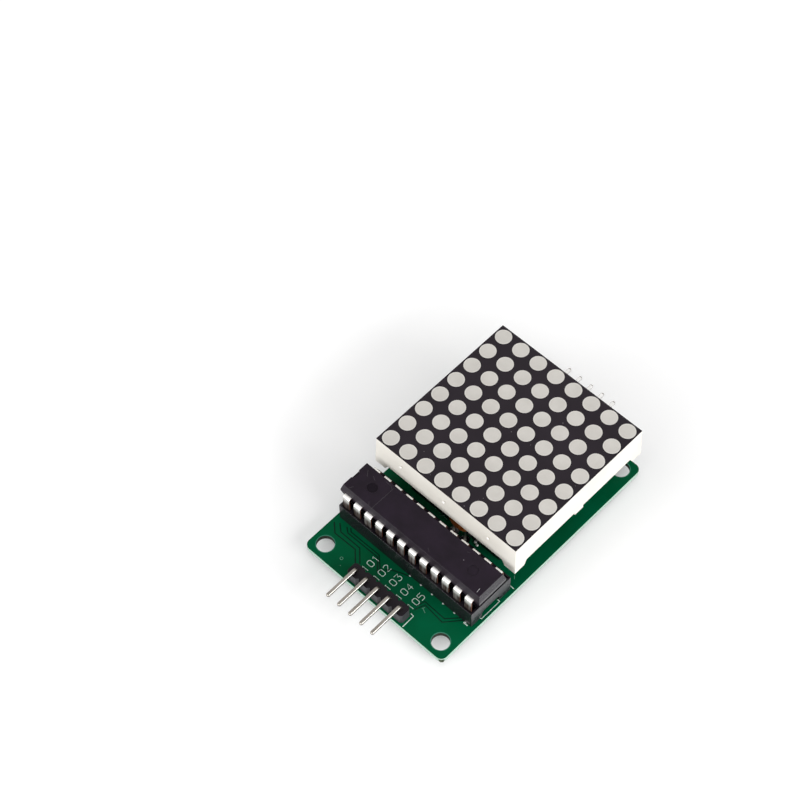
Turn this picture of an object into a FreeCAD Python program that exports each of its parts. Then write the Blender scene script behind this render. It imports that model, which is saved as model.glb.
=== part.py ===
import FreeCAD, Part
import math
import os

import Sketcher

# A 32 x 50 mm display module: a drilled circuit board carries an 8 x 8 lamp display on two
# socket strips, a 24 lead driver chip in its own socket, two bent five pin headers and three
# small wired parts. The board is soldered underneath and stands on its soldered joints.
# +X runs across the board, +Y from the input header to the output header, +Z up.
# The origin is the centre of the footprint on the surface that the joints stand on.

doc = FreeCAD.newDocument("LampDisplayModule")
sheet = doc.addObject("Spreadsheet::Sheet", "Sizes")


class Size:
    """A length that carries its value together with the sheet formula that gives it."""

    def __init__(self, value, formula=None):
        self.value = float(value)
        self.formula = formula or repr(float(value))

    def __add__(self, other):
        other = as_size(other)
        return Size(self.value + other.value, f"({self.formula} + {other.formula})")

    def __sub__(self, other):
        other = as_size(other)
        return Size(self.value - other.value, f"({self.formula} - {other.formula})")

    def __mul__(self, other):
        other = as_size(other)
        return Size(self.value * other.value, f"({self.formula} * {other.formula})")

    def __truediv__(self, other):
        other = as_size(other)
        return Size(self.value / other.value, f"({self.formula} / {other.formula})")

    def __neg__(self):
        return Size(-self.value, f"(-1 * {self.formula})")


def as_size(number):
    return number if isinstance(number, Size) else Size(number)


dimensions = []


def dim(alias, value, note):
    """One driving dimension: a row of the sheet with its alias, in millimetres or a count."""
    row = len(dimensions) + 1
    sheet.set(f"A{row}", alias)
    sheet.set(f"B{row}", str(value))
    sheet.setAlias(f"B{row}", alias)
    sheet.set(f"C{row}", note)
    dimensions.append(alias)
    return Size(value, f"Sizes.{alias}")


# Circuit board
board_width = dim("board_width", 32.0, "board across X")
board_thick = dim("board_thick", 1.0, "board thickness")
board_corner = dim("board_corner", 1.2, "radius of the board's corners")
mount_hole = dim("mount_hole", 3.2, "diameter of the mounting holes")
mount_side = dim("mount_side", 2.6, "mounting hole from the board's side")
mount_edge = dim("mount_edge", 2.55, "mounting hole from the board's end")
lead_drill = dim("lead_drill", 0.9, "hole for a lead, across its flats")
pin_pitch = dim("pin_pitch", 2.54, "pitch of every lead and pin row")

# Soldered joints under the board
joint_drop = dim("joint_drop", 1.4, "soldered joint below the board")
joint_width = dim("joint_width", 1.7, "soldered joint at the board, across its flats")
joint_draft = dim("joint_draft", 22.0, "slope of the soldered joint in degrees")

# Display
display_y = dim("display_y", 8.36, "centre of the display from the board's centre")
face_height = dim("face_height", 13.4, "display face above the board")
tile_gap = dim("tile_gap", 0.5, "gap that is left beside a neighbouring display")
housing_draft = dim("housing_draft", 2.0, "draft of the housing's sides in degrees")
skirt_depth = dim("skirt_depth", 5.95, "face down to the skirt's edge")
foot_drop = dim("foot_drop", 1.15, "corner feet below the skirt")
foot_length = dim("foot_length", 2.1, "corner foot along each side")
foot_slope = dim("foot_slope", 0.6, "run of the slope from foot to skirt")
nub_length = dim("nub_length", 2.1, "middle nub on the left and right skirts")
nub_drop = dim("nub_drop", 0.7, "middle nub below the skirt")
housing_wall = dim("housing_wall", 1.0, "wall of the housing at its face")
mask_thick = dim("mask_thick", 0.1, "black face mask")
dot_width = dim("dot_width", 3.0, "diameter of a lamp window")
dot_pitch = dim("dot_pitch", 4.0, "pitch of the lamp windows")
dot_count = dim("dot_count", 8, "windows along each side")
base_thick = dim("base_thick", 1.0, "lamp base plate inside the housing")
backfill_thick = dim("backfill_thick", 1.2, "poured sealing layer behind the base plate")
display_pins = dim("display_pins", 8, "pins in each row of the display")
pin_inset = dim("pin_inset", 3.75, "display pin row inside the edge of the face")
display_pin = dim("display_pin", 0.5, "side of a square display pin")
display_reach = dim("display_reach", 5.0, "display pins below the sealing layer")

# Socket strips under the display
strip_height = dim("strip_height", 8.5, "socket strip")
strip_width = dim("strip_width", 2.5, "socket strip along Y")
strip_end = dim("strip_end", 1.35, "strip beyond its last way")
strip_entry = dim("strip_entry", 0.8, "square entry for a pin")
strip_roof = dim("strip_roof", 1.0, "roof over each way")
strip_cell = dim("strip_cell", 1.6, "way inside the strip, along X")
strip_cell_depth = dim("strip_cell_depth", 1.2, "way inside the strip, along Y")
fork_width = dim("fork_width", 1.2, "fork contact across its arms")
fork_thick = dim("fork_thick", 0.3, "sheet of the fork contact")
fork_foot = dim("fork_foot", 0.4, "fork above the board")
fork_root = dim("fork_root", 1.6, "root of the fork's slot above the board")
fork_gap = dim("fork_gap", 0.3, "fork below the strip's roof")
fork_tail = dim("fork_tail", 0.5, "width of the fork's tail")

# Chip socket
display_gap = dim("display_gap", 1.575, "chip leads to the face of the display")
socket_ways = dim("socket_ways", 12, "leads on each side of the chip")
socket_row = dim("socket_row", 7.62, "distance between the chip's lead rows")
socket_end = dim("socket_end", 1.27, "socket beyond its last way")
socket_height = dim("socket_height", 4.2, "socket above the board")
socket_bar = dim("socket_bar", 2.0, "end bar of the socket, along X")
socket_shift = dim("socket_shift", 0.4, "socket behind the chip's centre line")
socket_arch = dim("socket_arch", 4.2, "opening under the end bar, along Y")
socket_arch_rise = dim("socket_arch_rise", 1.6, "height of the opening")
socket_arch_corner = dim("socket_arch_corner", 0.4, "corner that stays in the opening")
socket_cell = dim("socket_cell", 1.7, "contact way, along X")
socket_cell_depth = dim("socket_cell_depth", 1.5, "contact way, along Y")
socket_outer_wall = dim("socket_outer_wall", 0.25, "wall outside the contact ways")
socket_inner_wall = dim("socket_inner_wall", 0.76, "wall inside the contact ways")
leaf_thick = dim("leaf_thick", 0.2, "sheet of a socket contact")
leaf_width = dim("leaf_width", 0.8, "width of the leaf")
leaf_gap = dim("leaf_gap", 0.35, "leaf below the top of the socket")

# Driver chip
chip_length = dim("chip_length", 31.8, "chip along X")
chip_parting = dim("chip_parting", 7.2, "parting line above the board")
chip_land = dim("chip_land", 0.4, "straight band at the parting line")
chip_upper = dim("chip_upper", 1.5, "mould above the band")
chip_lower = dim("chip_lower", 1.3, "mould below the band")
chip_draft = dim("chip_draft", 15.0, "draft of the mould in degrees")
chip_notch = dim("chip_notch", 2.0, "diameter of the end notch")
chip_notch_depth = dim("chip_notch_depth", 0.9, "depth of the end notch")
chip_dimple = dim("chip_dimple", 1.9, "diameter of an ejector mark")
chip_dimple_depth = dim("chip_dimple_depth", 0.12, "depth of an ejector mark")
chip_dimple_pitch = dim("chip_dimple_pitch", 22.9, "distance between the ejector marks")
lead_thick = dim("lead_thick", 0.25, "sheet of a chip lead")
lead_shoulder = dim("lead_shoulder", 1.5, "width of a lead's shoulder")
lead_tip = dim("lead_tip", 0.5, "width of a lead's tip")
lead_run = dim("lead_run", 0.435, "level run of a lead beside the mould")
lead_bend = dim("lead_bend", 0.3, "bevel of a lead's bend")
lead_sink = dim("lead_sink", 0.4, "shoulder's end below the top of the socket")
lead_entry = dim("lead_entry", 2.6, "tip inside the socket")

# Pin headers
header_pins = dim("header_pins", 5, "pins in a header")
header_gap = dim("header_gap", 0.89, "output header behind the rear socket strip")
header_edge = dim("header_edge", 1.55, "header row from the board's end")
input_x = dim("input_x", 0.15, "input header from the board's centre line")
output_x = dim("output_x", -0.25, "output header from the board's centre line")
header_width = dim("header_width", 2.4, "header block along Y")
header_height = dim("header_height", 2.5, "header block")
header_notch = dim("header_notch", 0.4, "corner cut between two segments")
header_pin = dim("header_pin", 0.64, "side of a square header pin")
header_rise = dim("header_rise", 3.2, "middle of a bent pin above the board")
header_bend = dim("header_bend", 0.9, "outer radius of a pin's bend")
header_reach = dim("header_reach", 5.45, "pin tips past the board's end")
header_point = dim("header_point", 0.18, "bevel of a pin's tip")

# Resistor
wire_width = dim("wire_width", 0.5, "wire of the small parts")
resistor_x = dim("resistor_x", -5.0, "middle of the resistor")
resistor_gap = dim("resistor_gap", 6.24, "resistor behind the front pin row of the display")
resistor_length = dim("resistor_length", 6.3, "resistor body")
resistor_end = dim("resistor_end", 2.3, "diameter of its ends")
resistor_waist = dim("resistor_waist", 1.9, "diameter of its middle")
resistor_cap = dim("resistor_cap", 1.3, "length of an end")
resistor_lift = dim("resistor_lift", 0.3, "resistor above the board")
resistor_span = dim("resistor_span", 10.16, "distance between its holes")
wire_bend = dim("wire_bend", 0.7, "run and drop of a wire's bend")

# Ceramic capacitor
ceramic_x = dim("ceramic_x", 2.0, "middle of the ceramic capacitor")
ceramic_inset = dim("ceramic_inset", 1.49, "ceramic capacitor behind the display's front side")
ceramic_width = dim("ceramic_width", 4.6, "diameter of its disc")
ceramic_thick = dim("ceramic_thick", 1.8, "thickness of its disc")
ceramic_rim = dim("ceramic_rim", 0.6, "width of its rim")
ceramic_clear = dim("ceramic_clear", 0.15, "disc below the skirt of the display")

# Electrolytic capacitor
can_x = dim("can_x", 8.0, "middle of the electrolytic capacitor")
can_gap = dim("can_gap", 7.04, "electrolytic capacitor behind the display's front pin row")
can_width = dim("can_width", 4.6, "diameter of its can")
can_height = dim("can_height", 6.6, "its can")
can_lift = dim("can_lift", 0.3, "can above the board")
sleeve_thick = dim("sleeve_thick", 0.2, "wall of the plastic sleeve")
sleeve_bare = dim("sleeve_bare", 0.25, "bare can above the sleeve")
bung_width = dim("bung_width", 3.6, "diameter of the rubber bung")
bung_thick = dim("bung_thick", 1.2, "thickness of the rubber bung")
can_pitch = dim("can_pitch", 2.0, "distance between its wires")

# Levels and places that follow from the dimensions
board_bottom = joint_drop
board_top = board_bottom + board_thick
face_top = board_top + face_height
mask_bottom = face_top - mask_thick
skirt_edge = face_top - skirt_depth
foot_end = skirt_edge - foot_drop
strip_top = board_top + strip_height
backfill_top = strip_top + backfill_thick
base_top = backfill_top + base_thick
socket_top = board_top + socket_height
parting = board_top + chip_parting
face_width = dot_pitch * dot_count - tile_gap
cavity_width = face_width - housing_wall * 2
display_row = face_width - pin_inset * 2
front_side = display_y - face_width / 2
front_row = display_y - display_row / 2
rear_row = display_y + display_row / 2
socket_y = front_side - display_gap - (socket_row + lead_thick) / 2
socket_width = socket_row + socket_cell_depth + socket_outer_wall * 2
socket_window = socket_row - socket_cell_depth - socket_inner_wall * 2
chip_width = socket_row - lead_thick - lead_run * 2
header_y = rear_row + strip_width / 2 + header_gap + header_width / 2
board_length = (header_y + header_edge) * 2
mount_pitch_x = board_width - mount_side * 2
mount_pitch_y = board_length - mount_edge * 2
resistor_y = front_row + resistor_gap
can_y = front_row + can_gap
ceramic_y = front_side + ceramic_inset
ceramic_middle = skirt_edge - ceramic_clear - ceramic_width / 2
zero = Size(0)
overcut = Size(1)
near = 0.01
level_slack = 0.001
wire_sides = 8
joint_sides = 6
window_sides = 10
disc_sides = 12
can_sides = 16

nodes = []


def drive(thing, path, length):
    thing.setExpression(path, as_size(length).formula)


def new_body(label):
    body = doc.addObject("PartDesign::Body", label)
    body.Label = label
    nodes.append(body)
    return body


def origin_part(body, role):
    return next(item for item in body.Origin.OriginFeatures if item.Role == role)


def new_sketch(body, name, role="XY_Plane", right=zero, up=zero, out=zero):
    """A sketch on one of the body's own planes, shifted right, up and out of that plane."""
    sketch = body.newObject("Sketcher::SketchObject", name)
    sketch.AttachmentSupport = (origin_part(body, role), [""])
    sketch.MapMode = "FlatFace"
    for axis, shift in (("x", right), ("y", up), ("z", out)):
        drive(sketch, f"AttachmentOffset.Base.{axis}", shift)
    return sketch


def hold_point(sketch, edge, end, x, y):
    """Ties a point of the sketch to its place from the sketch's origin."""
    for kind, place in (("DistanceX", as_size(x)), ("DistanceY", as_size(y))):
        if place.value < 0:
            tie = Sketcher.Constraint(kind, edge, end, -1, 1, -place.value)
            place = -place
        else:
            tie = Sketcher.Constraint(kind, -1, 1, edge, end, place.value)
        drive(sketch, f"Constraints[{sketch.addConstraint(tie)}]", place)


def outline(sketch, points, closed=True):
    """An outline of straight edges through the points."""
    corners = [FreeCAD.Vector(as_size(x).value, as_size(y).value, 0) for x, y in points]
    first = sketch.GeometryCount
    count = len(corners)
    edges = count if closed else count - 1
    for i in range(edges):
        sketch.addGeometry(Part.LineSegment(corners[i], corners[(i + 1) % count]), False)
    for i in range(edges if closed else edges - 1):
        following = first + (i + 1) % count
        sketch.addConstraint(Sketcher.Constraint("Coincident", first + i, 2, following, 1))
    for i, (x, y) in enumerate(points[:edges]):
        hold_point(sketch, first + i, 1, x, y)
    if not closed:
        hold_point(sketch, first + edges - 1, 2, *points[-1])


def rectangle(sketch, width, depth, x=zero, y=zero):
    left, right = as_size(x) - width / 2, as_size(x) + width / 2
    front, rear = as_size(y) - depth / 2, as_size(y) + depth / 2
    outline(sketch, [(left, front), (right, front), (right, rear), (left, rear)])


def many_sided(sketch, sides, across, x=zero, y=zero):
    """A regular outline of many sides, given by the distance across its flats."""
    reach = across / (2 * math.cos(math.pi / sides))
    turns = [(2 * i + 1) * math.pi / sides for i in range(sides)]
    outline(sketch, [(as_size(x) + reach * math.cos(turn), as_size(y) + reach * math.sin(turn))
                     for turn in turns])


def circle(sketch, width, x=zero, y=zero):
    centre = FreeCAD.Vector(as_size(x).value, as_size(y).value, 0)
    ring = Part.Circle(centre, FreeCAD.Vector(0, 0, 1), as_size(width).value / 2)
    edge = sketch.addGeometry(ring, False)
    hold_point(sketch, edge, 3, x, y)
    tie = sketch.addConstraint(Sketcher.Constraint("Diameter", edge, as_size(width).value))
    drive(sketch, f"Constraints[{tie}]", width)


def feature(body, kind, sketch, length, down=False, both=False):
    item = body.newObject(f"PartDesign::{kind}", f"{sketch.Name}_{kind}")
    item.Profile = sketch
    item.SideType = "Symmetric" if both else "One side"
    item.Reversed = down
    if length is None:
        item.Type = "ThroughAll"
    else:
        drive(item, "Length", length)
    sketch.Visibility = False
    return item


def pad(body, sketch, length, **options):
    return feature(body, "Pad", sketch, length, **options)


def cut(body, sketch, length=None, **options):
    return feature(body, "Pocket", sketch, length, **options)


def row(body, name, originals, pitch, count, cross_pitch=None, cross_count=None):
    """Copies the features along +X and, where a cross pitch is given, along +Y too."""
    pattern = body.newObject("PartDesign::LinearPattern", name)
    pattern.Originals = originals
    pattern.Direction = (origin_part(body, "X_Axis"), [""])
    pattern.Mode = "Extent"
    drive(pattern, "Length", pitch * (as_size(count) - 1))
    drive(pattern, "Occurrences", count)
    if cross_pitch is not None:
        pattern.Direction2 = (origin_part(body, "Y_Axis"), [""])
        pattern.Mode2 = "Extent"
        drive(pattern, "Length2", cross_pitch * (as_size(cross_count) - 1))
        drive(pattern, "Occurrences2", cross_count)
    body.Tip = pattern
    return pattern


def edges_where(item, wanted):
    doc.recompute()
    return [f"Edge{i + 1}" for i, edge in enumerate(item.Shape.Edges) if wanted(edge)]


def upright(edge):
    first, last = edge.Vertexes[0].Point, edge.Vertexes[-1].Point
    return abs(first.x - last.x) + abs(first.y - last.y) < level_slack


def rounded(body, item, wanted, radius):
    fillet = body.newObject("PartDesign::Fillet", f"{item.Name}_Round")
    fillet.Base = (item, edges_where(item, wanted))
    drive(fillet, "Radius", radius)
    return fillet


def bevelled(body, item, wanted, size):
    chamfer = body.newObject("PartDesign::Chamfer", f"{item.Name}_Bevel")
    chamfer.Base = (item, edges_where(item, wanted))
    drive(chamfer, "Size", size)
    return chamfer


def drafted(body, item, level, angle, narrow_down=False):
    """Leans the item's sides from the level on, so that they close in going up, or down."""
    doc.recompute()
    sides, flats = [], []
    for number, face in enumerate(item.Shape.Faces, 1):
        box = face.BoundBox
        reach = min(abs(box.ZMin - level.value), abs(box.ZMax - level.value))
        at_level = reach < level_slack
        if at_level and box.ZLength < level_slack:
            flats.append(f"Face{number}")
        elif at_level and abs(face.normalAt(0, 0).z) < level_slack:
            sides.append(f"Face{number}")
    lean = body.newObject("PartDesign::Draft", f"{item.Name}_Draft")
    lean.Base = (item, sides)
    lean.NeutralPlane = (item, [flats[0]])
    lean.Reversed = narrow_down
    drive(lean, "Angle", angle)
    body.Tip = lean
    return lean


def first_of(count, pitch):
    """Place of the first of a centred row."""
    return -(count - 1) * pitch / 2


def make_board():
    body = new_body("circuit_board")
    blank = new_sketch(body, "board_blank", out=board_bottom)
    rectangle(blank, board_width, board_length)
    plate = rounded(body, pad(body, blank, board_thick), upright, board_corner)
    corner = new_sketch(body, "board_mount", out=board_top)
    circle(corner, mount_hole, -mount_pitch_x / 2, -mount_pitch_y / 2)
    row(body, "mount_holes", [cut(body, corner)], mount_pitch_x, 2, mount_pitch_y, 2)
    groups = [
        ("socket", zero, socket_y, socket_ways, pin_pitch, socket_row),
        ("strip", zero, display_y, display_pins, pin_pitch, display_row),
        ("input", input_x, -header_y, header_pins, pin_pitch, None),
        ("output", output_x, header_y, header_pins, pin_pitch, None),
        ("resistor", resistor_x, resistor_y, Size(2), resistor_span, None),
        ("ceramic", ceramic_x, ceramic_y, Size(2), pin_pitch, None),
        ("can", can_x, can_y, Size(2), can_pitch, None),
    ]
    for name, x, y, count, pitch, cross in groups:
        hole = new_sketch(body, f"hole_{name}", out=board_top)
        front = y if cross is None else y - cross / 2
        rectangle(hole, lead_drill, lead_drill, x + first_of(count, pitch), front)
        row(body, f"holes_{name}", [cut(body, hole)], pitch, count, cross, Size(2))


def make_joints(label, places):
    """Soldered joints: each one holds the trimmed end of its lead under the board."""
    body = new_body(label)
    for number, (x, y, count, pitch, cross) in enumerate(places):
        joint = new_sketch(body, f"{label}_{number}", out=board_bottom)
        front = y if cross is None else y - cross / 2
        many_sided(joint, joint_sides, joint_width, x + first_of(count, pitch), front)
        solid = pad(body, joint, joint_drop, down=True)
        joints = row(body, f"{label}_row_{number}", [solid], pitch, count, cross, Size(2))
    drafted(body, joints, board_bottom, joint_draft, narrow_down=True)


def make_housing():
    body = new_body("display_housing")
    top = new_sketch(body, "housing_top", up=display_y, out=mask_bottom)
    rectangle(top, face_width, face_width)
    block = pad(body, top, mask_bottom - foot_end, down=True)
    drafted(body, block, mask_bottom, housing_draft)
    recess = new_sketch(body, "housing_recess", up=display_y, out=foot_end)
    rectangle(recess, cavity_width, cavity_width)
    cut(body, recess, base_top - foot_end, down=True)
    foot = face_width / 2 - foot_length
    skirt = foot - foot_slope
    below = foot_end - overcut
    front = new_sketch(body, "housing_front_edge", "XZ_Plane")
    outline(front, [(-foot, below), (foot, below), (foot, foot_end), (skirt, skirt_edge),
                    (-skirt, skirt_edge), (-foot, foot_end)])
    cut(body, front, board_length * 2, both=True)
    nub = nub_length / 2
    side = new_sketch(body, "housing_side_edge", "YZ_Plane", right=display_y)
    outline(side, [(-foot, below), (foot, below), (foot, foot_end), (skirt, skirt_edge),
                   (nub, skirt_edge), (nub, skirt_edge - nub_drop),
                   (-nub, skirt_edge - nub_drop), (-nub, skirt_edge),
                   (-skirt, skirt_edge), (-foot, foot_end)])
    cut(body, side, board_width * 2, both=True)


def make_mask():
    body = new_body("face_mask")
    blank = new_sketch(body, "mask_blank", up=display_y, out=mask_bottom)
    rectangle(blank, face_width, face_width)
    pad(body, blank, mask_thick)
    window = new_sketch(body, "mask_window", up=display_y, out=face_top)
    first = first_of(dot_count, dot_pitch)
    many_sided(window, window_sides, dot_width, first, first)
    row(body, "mask_windows", [cut(body, window)], dot_pitch, dot_count, dot_pitch, dot_count)


def make_layers():
    """The lamp base plate in the housing's back and the sealing layer poured behind it."""
    plate = new_body("lamp_base")
    blank = new_sketch(plate, "base_blank", up=display_y, out=backfill_top)
    rectangle(blank, cavity_width, cavity_width)
    pad(plate, blank, base_thick)
    body = new_body("display_backfill")
    layer = new_sketch(body, "backfill_blank", up=display_y, out=strip_top)
    rectangle(layer, cavity_width, cavity_width)
    pad(body, layer, backfill_thick)
    hole = new_sketch(body, "backfill_hole", up=display_y, out=backfill_top)
    rectangle(hole, display_pin, display_pin, first_of(display_pins, pin_pitch),
              -display_row / 2)
    row(body, "backfill_holes", [cut(body, hole)], pin_pitch, display_pins, display_row,
        Size(2))


def make_display_pins(label, y):
    body = new_body(label)
    pin = new_sketch(body, f"{label}_pin", out=strip_top - display_reach)
    rectangle(pin, display_pin, display_pin, first_of(display_pins, pin_pitch), y)
    solid = pad(body, pin, backfill_top - strip_top + display_reach)
    row(body, f"{label}_row", [solid], pin_pitch, display_pins)


def make_strip(label, y):
    body = new_body(label)
    first = first_of(display_pins, pin_pitch)
    block = new_sketch(body, f"{label}_block", up=y, out=board_top)
    rectangle(block, (display_pins - 1) * pin_pitch + strip_end * 2, strip_width)
    pad(body, block, strip_height)
    entry = new_sketch(body, f"{label}_entry", up=y, out=strip_top)
    rectangle(entry, strip_entry, strip_entry, first)
    way = new_sketch(body, f"{label}_way", up=y, out=board_top)
    rectangle(way, strip_cell, strip_cell_depth, first)
    features = [cut(body, way, strip_height - strip_roof, down=True), cut(body, entry)]
    row(body, f"{label}_ways", features, pin_pitch, display_pins)


def make_forks(label, y):
    """Fork contacts: two arms hold each display pin and a tail goes through the board."""
    body = new_body(label)
    fork = new_sketch(body, f"{label}_fork", "XZ_Plane", first_of(display_pins, pin_pitch),
                      out=-y)
    arm, tail, slot = fork_width / 2, fork_tail / 2, display_pin / 2
    foot, root = board_top + fork_foot, board_top + fork_root
    top = strip_top - strip_roof - fork_gap
    outline(fork, [(-tail, board_bottom), (tail, board_bottom), (tail, foot), (arm, foot),
                   (arm, top), (slot, top), (slot, root), (-slot, root), (-slot, top),
                   (-arm, top), (-arm, foot), (-tail, foot)])
    row(body, f"{label}_row", [pad(body, fork, fork_thick, both=True)], pin_pitch,
        display_pins)


def make_socket():
    body = new_body("chip_socket")
    length = (socket_ways - 1) * pin_pitch + socket_end * 2
    middle = socket_y + socket_shift
    block = new_sketch(body, "socket_block", up=middle, out=board_top)
    rectangle(block, length, socket_width)
    pad(body, block, socket_height)
    window = new_sketch(body, "socket_middle", up=middle, out=socket_top)
    rectangle(window, length - socket_bar * 2, socket_window)
    cut(body, window)
    arch = new_sketch(body, "socket_arch_end", "YZ_Plane", middle, out=length / 2 + overcut)
    side, shoulder = socket_arch / 2, socket_arch / 2 - socket_arch_corner
    crown = board_top + socket_arch_rise
    spring = crown - socket_arch_corner
    outline(arch, [(-side, board_bottom), (side, board_bottom), (side, spring), (shoulder, crown),
                   (-shoulder, crown), (-side, spring)])
    cut(body, arch, length + overcut * 2)
    first = first_of(socket_ways, pin_pitch)
    way = new_sketch(body, "socket_way", up=middle, out=socket_top)
    rectangle(way, socket_cell, socket_cell_depth, first, -socket_row / 2)
    row(body, "socket_ways_cut", [cut(body, way)], pin_pitch, socket_ways, socket_row, Size(2))


def make_leaves(label, side):
    """Leaf contacts: each leaf presses on its lead and its tail goes through the board."""
    body = new_body(label)
    offset = socket_row / 2 * side + (lead_thick + leaf_thick) / 2
    leaf = new_sketch(body, f"{label}_leaf", up=socket_y, out=board_bottom)
    rectangle(leaf, leaf_width, leaf_thick, first_of(socket_ways, pin_pitch), offset)
    solid = pad(body, leaf, socket_top - leaf_gap - board_bottom)
    row(body, f"{label}_row", [solid], pin_pitch, socket_ways)


def make_chip():
    body = new_body("driver_chip")
    band_top, band_end = parting + chip_land / 2, parting - chip_land / 2
    upper = new_sketch(body, "chip_top", up=socket_y, out=band_top)
    rectangle(upper, chip_length, chip_width)
    drafted(body, pad(body, upper, chip_upper), band_top, chip_draft)
    lower = new_sketch(body, "chip_underside", up=socket_y, out=band_end)
    rectangle(lower, chip_length, chip_width)
    keel = pad(body, lower, chip_lower, down=True)
    drafted(body, keel, band_end, chip_draft, narrow_down=True)
    band = new_sketch(body, "chip_band", up=socket_y, out=parting)
    rectangle(band, chip_length, chip_width)
    pad(body, band, chip_land, both=True)
    top = band_top + chip_upper
    notch = new_sketch(body, "chip_notch_round", up=socket_y, out=top)
    circle(notch, chip_notch, -chip_length / 2)
    cut(body, notch, chip_notch_depth)
    mark = new_sketch(body, "chip_mark", up=socket_y, out=top)
    many_sided(mark, disc_sides, chip_dimple, -chip_dimple_pitch / 2)
    row(body, "chip_marks", [cut(body, mark, chip_dimple_depth)], chip_dimple_pitch, Size(2))


def make_leads(label, side):
    """Chip leads: out of the mould's side, over the shoulder and down into the socket."""
    body = new_body(label)
    first = first_of(socket_ways, pin_pitch)
    root = chip_width / 2 * side
    outer = (socket_row + lead_thick) / 2 * side
    inner = (socket_row - lead_thick) / 2 * side
    high, low = parting + lead_thick / 2, parting - lead_thick / 2
    stop = socket_top - lead_sink
    shoulder = new_sketch(body, f"{label}_shoulder", "YZ_Plane", socket_y, out=first)
    outline(shoulder, [(root, high), (outer, high), (outer, stop), (inner, stop),
                       (inner, low), (root, low)])
    bent = pad(body, shoulder, lead_shoulder, both=True)
    crest_y = socket_y.value + outer.value

    def is_crest(edge):
        middle = edge.BoundBox.Center
        return edge.BoundBox.XLength > lead_tip.value and abs(middle.y - crest_y) < near \
            and abs(middle.z - high.value) < near

    soft = bevelled(body, bent, is_crest, lead_bend)
    tip = new_sketch(body, f"{label}_tip", up=socket_y, out=stop)
    rectangle(tip, lead_tip, lead_thick, first, socket_row / 2 * side)
    leg = pad(body, tip, lead_entry - lead_sink, down=True)
    row(body, f"{label}_row", [bent, soft, leg], pin_pitch, socket_ways)


def make_header(label, x, y):
    body = new_body(label)
    first = x + first_of(header_pins, pin_pitch)
    half, short = pin_pitch / 2, pin_pitch / 2 - header_notch
    deep, shallow = header_width / 2, header_width / 2 - header_notch
    block = new_sketch(body, f"{label}_segment", right=first, up=y, out=board_top)
    outline(block, [(-half, -shallow), (-short, -deep), (short, -deep), (half, -shallow),
                    (half, shallow), (short, deep), (-short, deep), (-half, shallow)])
    hole = new_sketch(body, f"{label}_hole", right=first, up=y, out=board_top + header_height)
    segment = pad(body, block, header_height)
    row(body, f"{label}_block", [segment], pin_pitch, header_pins)
    rectangle(hole, header_pin, header_pin)
    row(body, f"{label}_holes", [cut(body, hole)], pin_pitch, header_pins)


def make_header_pin(label, x, y, side):
    """A bent pin: up through the block, over, and out past the edge of the board."""
    body = new_body(label)
    half = header_pin / 2
    outside, inside = y - half * side, y + half * side
    top, under = board_top + header_rise + half, board_top + header_rise - half
    reach = (board_length / 2 + header_reach) * side
    bar = new_sketch(body, f"{label}_bar", "YZ_Plane", out=x)
    outline(bar, [(outside, board_bottom), (outside, top), (reach, top), (reach, under),
                  (inside, under), (inside, board_bottom)])
    straight = pad(body, bar, header_pin, both=True)

    def is_crest(edge):
        middle = edge.BoundBox.Center
        return abs(middle.y - outside.value) < near and abs(middle.z - top.value) < near \
            and edge.BoundBox.XLength > header_point.value

    bent = rounded(body, straight, is_crest, header_bend)

    def is_tip(edge):
        box = edge.BoundBox
        return abs(box.YMin - reach.value) < near and abs(box.YMax - reach.value) < near

    bevelled(body, bent, is_tip, header_point)


def make_headers():
    for name, x, side in (("input", input_x, -1), ("output", output_x, 1)):
        y = header_y * side
        make_header(f"{name}_header", x, y)
        for number in range(int(header_pins.value)):
            place = x + first_of(header_pins, pin_pitch) + pin_pitch * number
            make_header_pin(f"{name}_pin_{number + 1}", place, y, side)


def make_resistor():
    body = new_body("resistor_body")
    axis = board_top + resistor_lift + resistor_end / 2
    half = resistor_length / 2
    core = new_sketch(body, "resistor_core", "YZ_Plane", resistor_y, axis, resistor_x - half)
    many_sided(core, disc_sides, resistor_waist)
    pad(body, core, resistor_length)
    for name, start in (("left", -half), ("right", half - resistor_cap)):
        end = new_sketch(body, f"resistor_end_{name}", "YZ_Plane", resistor_y, axis,
                         resistor_x + start)
        many_sided(end, disc_sides, resistor_end)
        pad(body, end, resistor_cap)
    wires = new_body("resistor_wires")
    for side in (-1, 1):
        make_bent_wire(wires, side, axis, half)


def make_bent_wire(wires, side, axis, half):
    """A wire that leaves the resistor level, bends down and goes through the board."""
    name = "left" if side < 0 else "right"
    start = resistor_x + half * side
    hole = resistor_x + resistor_span / 2 * side
    path = new_sketch(wires, f"wire_path_{name}", "XZ_Plane", out=-resistor_y)
    outline(path, [(start, axis), (hole - wire_bend * side, axis), (hole, axis - wire_bend),
                   (hole, board_bottom)], closed=False)
    ring = new_sketch(wires, f"wire_ring_{name}", "YZ_Plane", resistor_y, axis, start)
    many_sided(ring, wire_sides, wire_width)
    pipe = wires.newObject("PartDesign::AdditivePipe", f"wire_{name}")
    pipe.Profile = ring
    pipe.Spine = (path, [])
    pipe.Transition = "Right corner"


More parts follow.
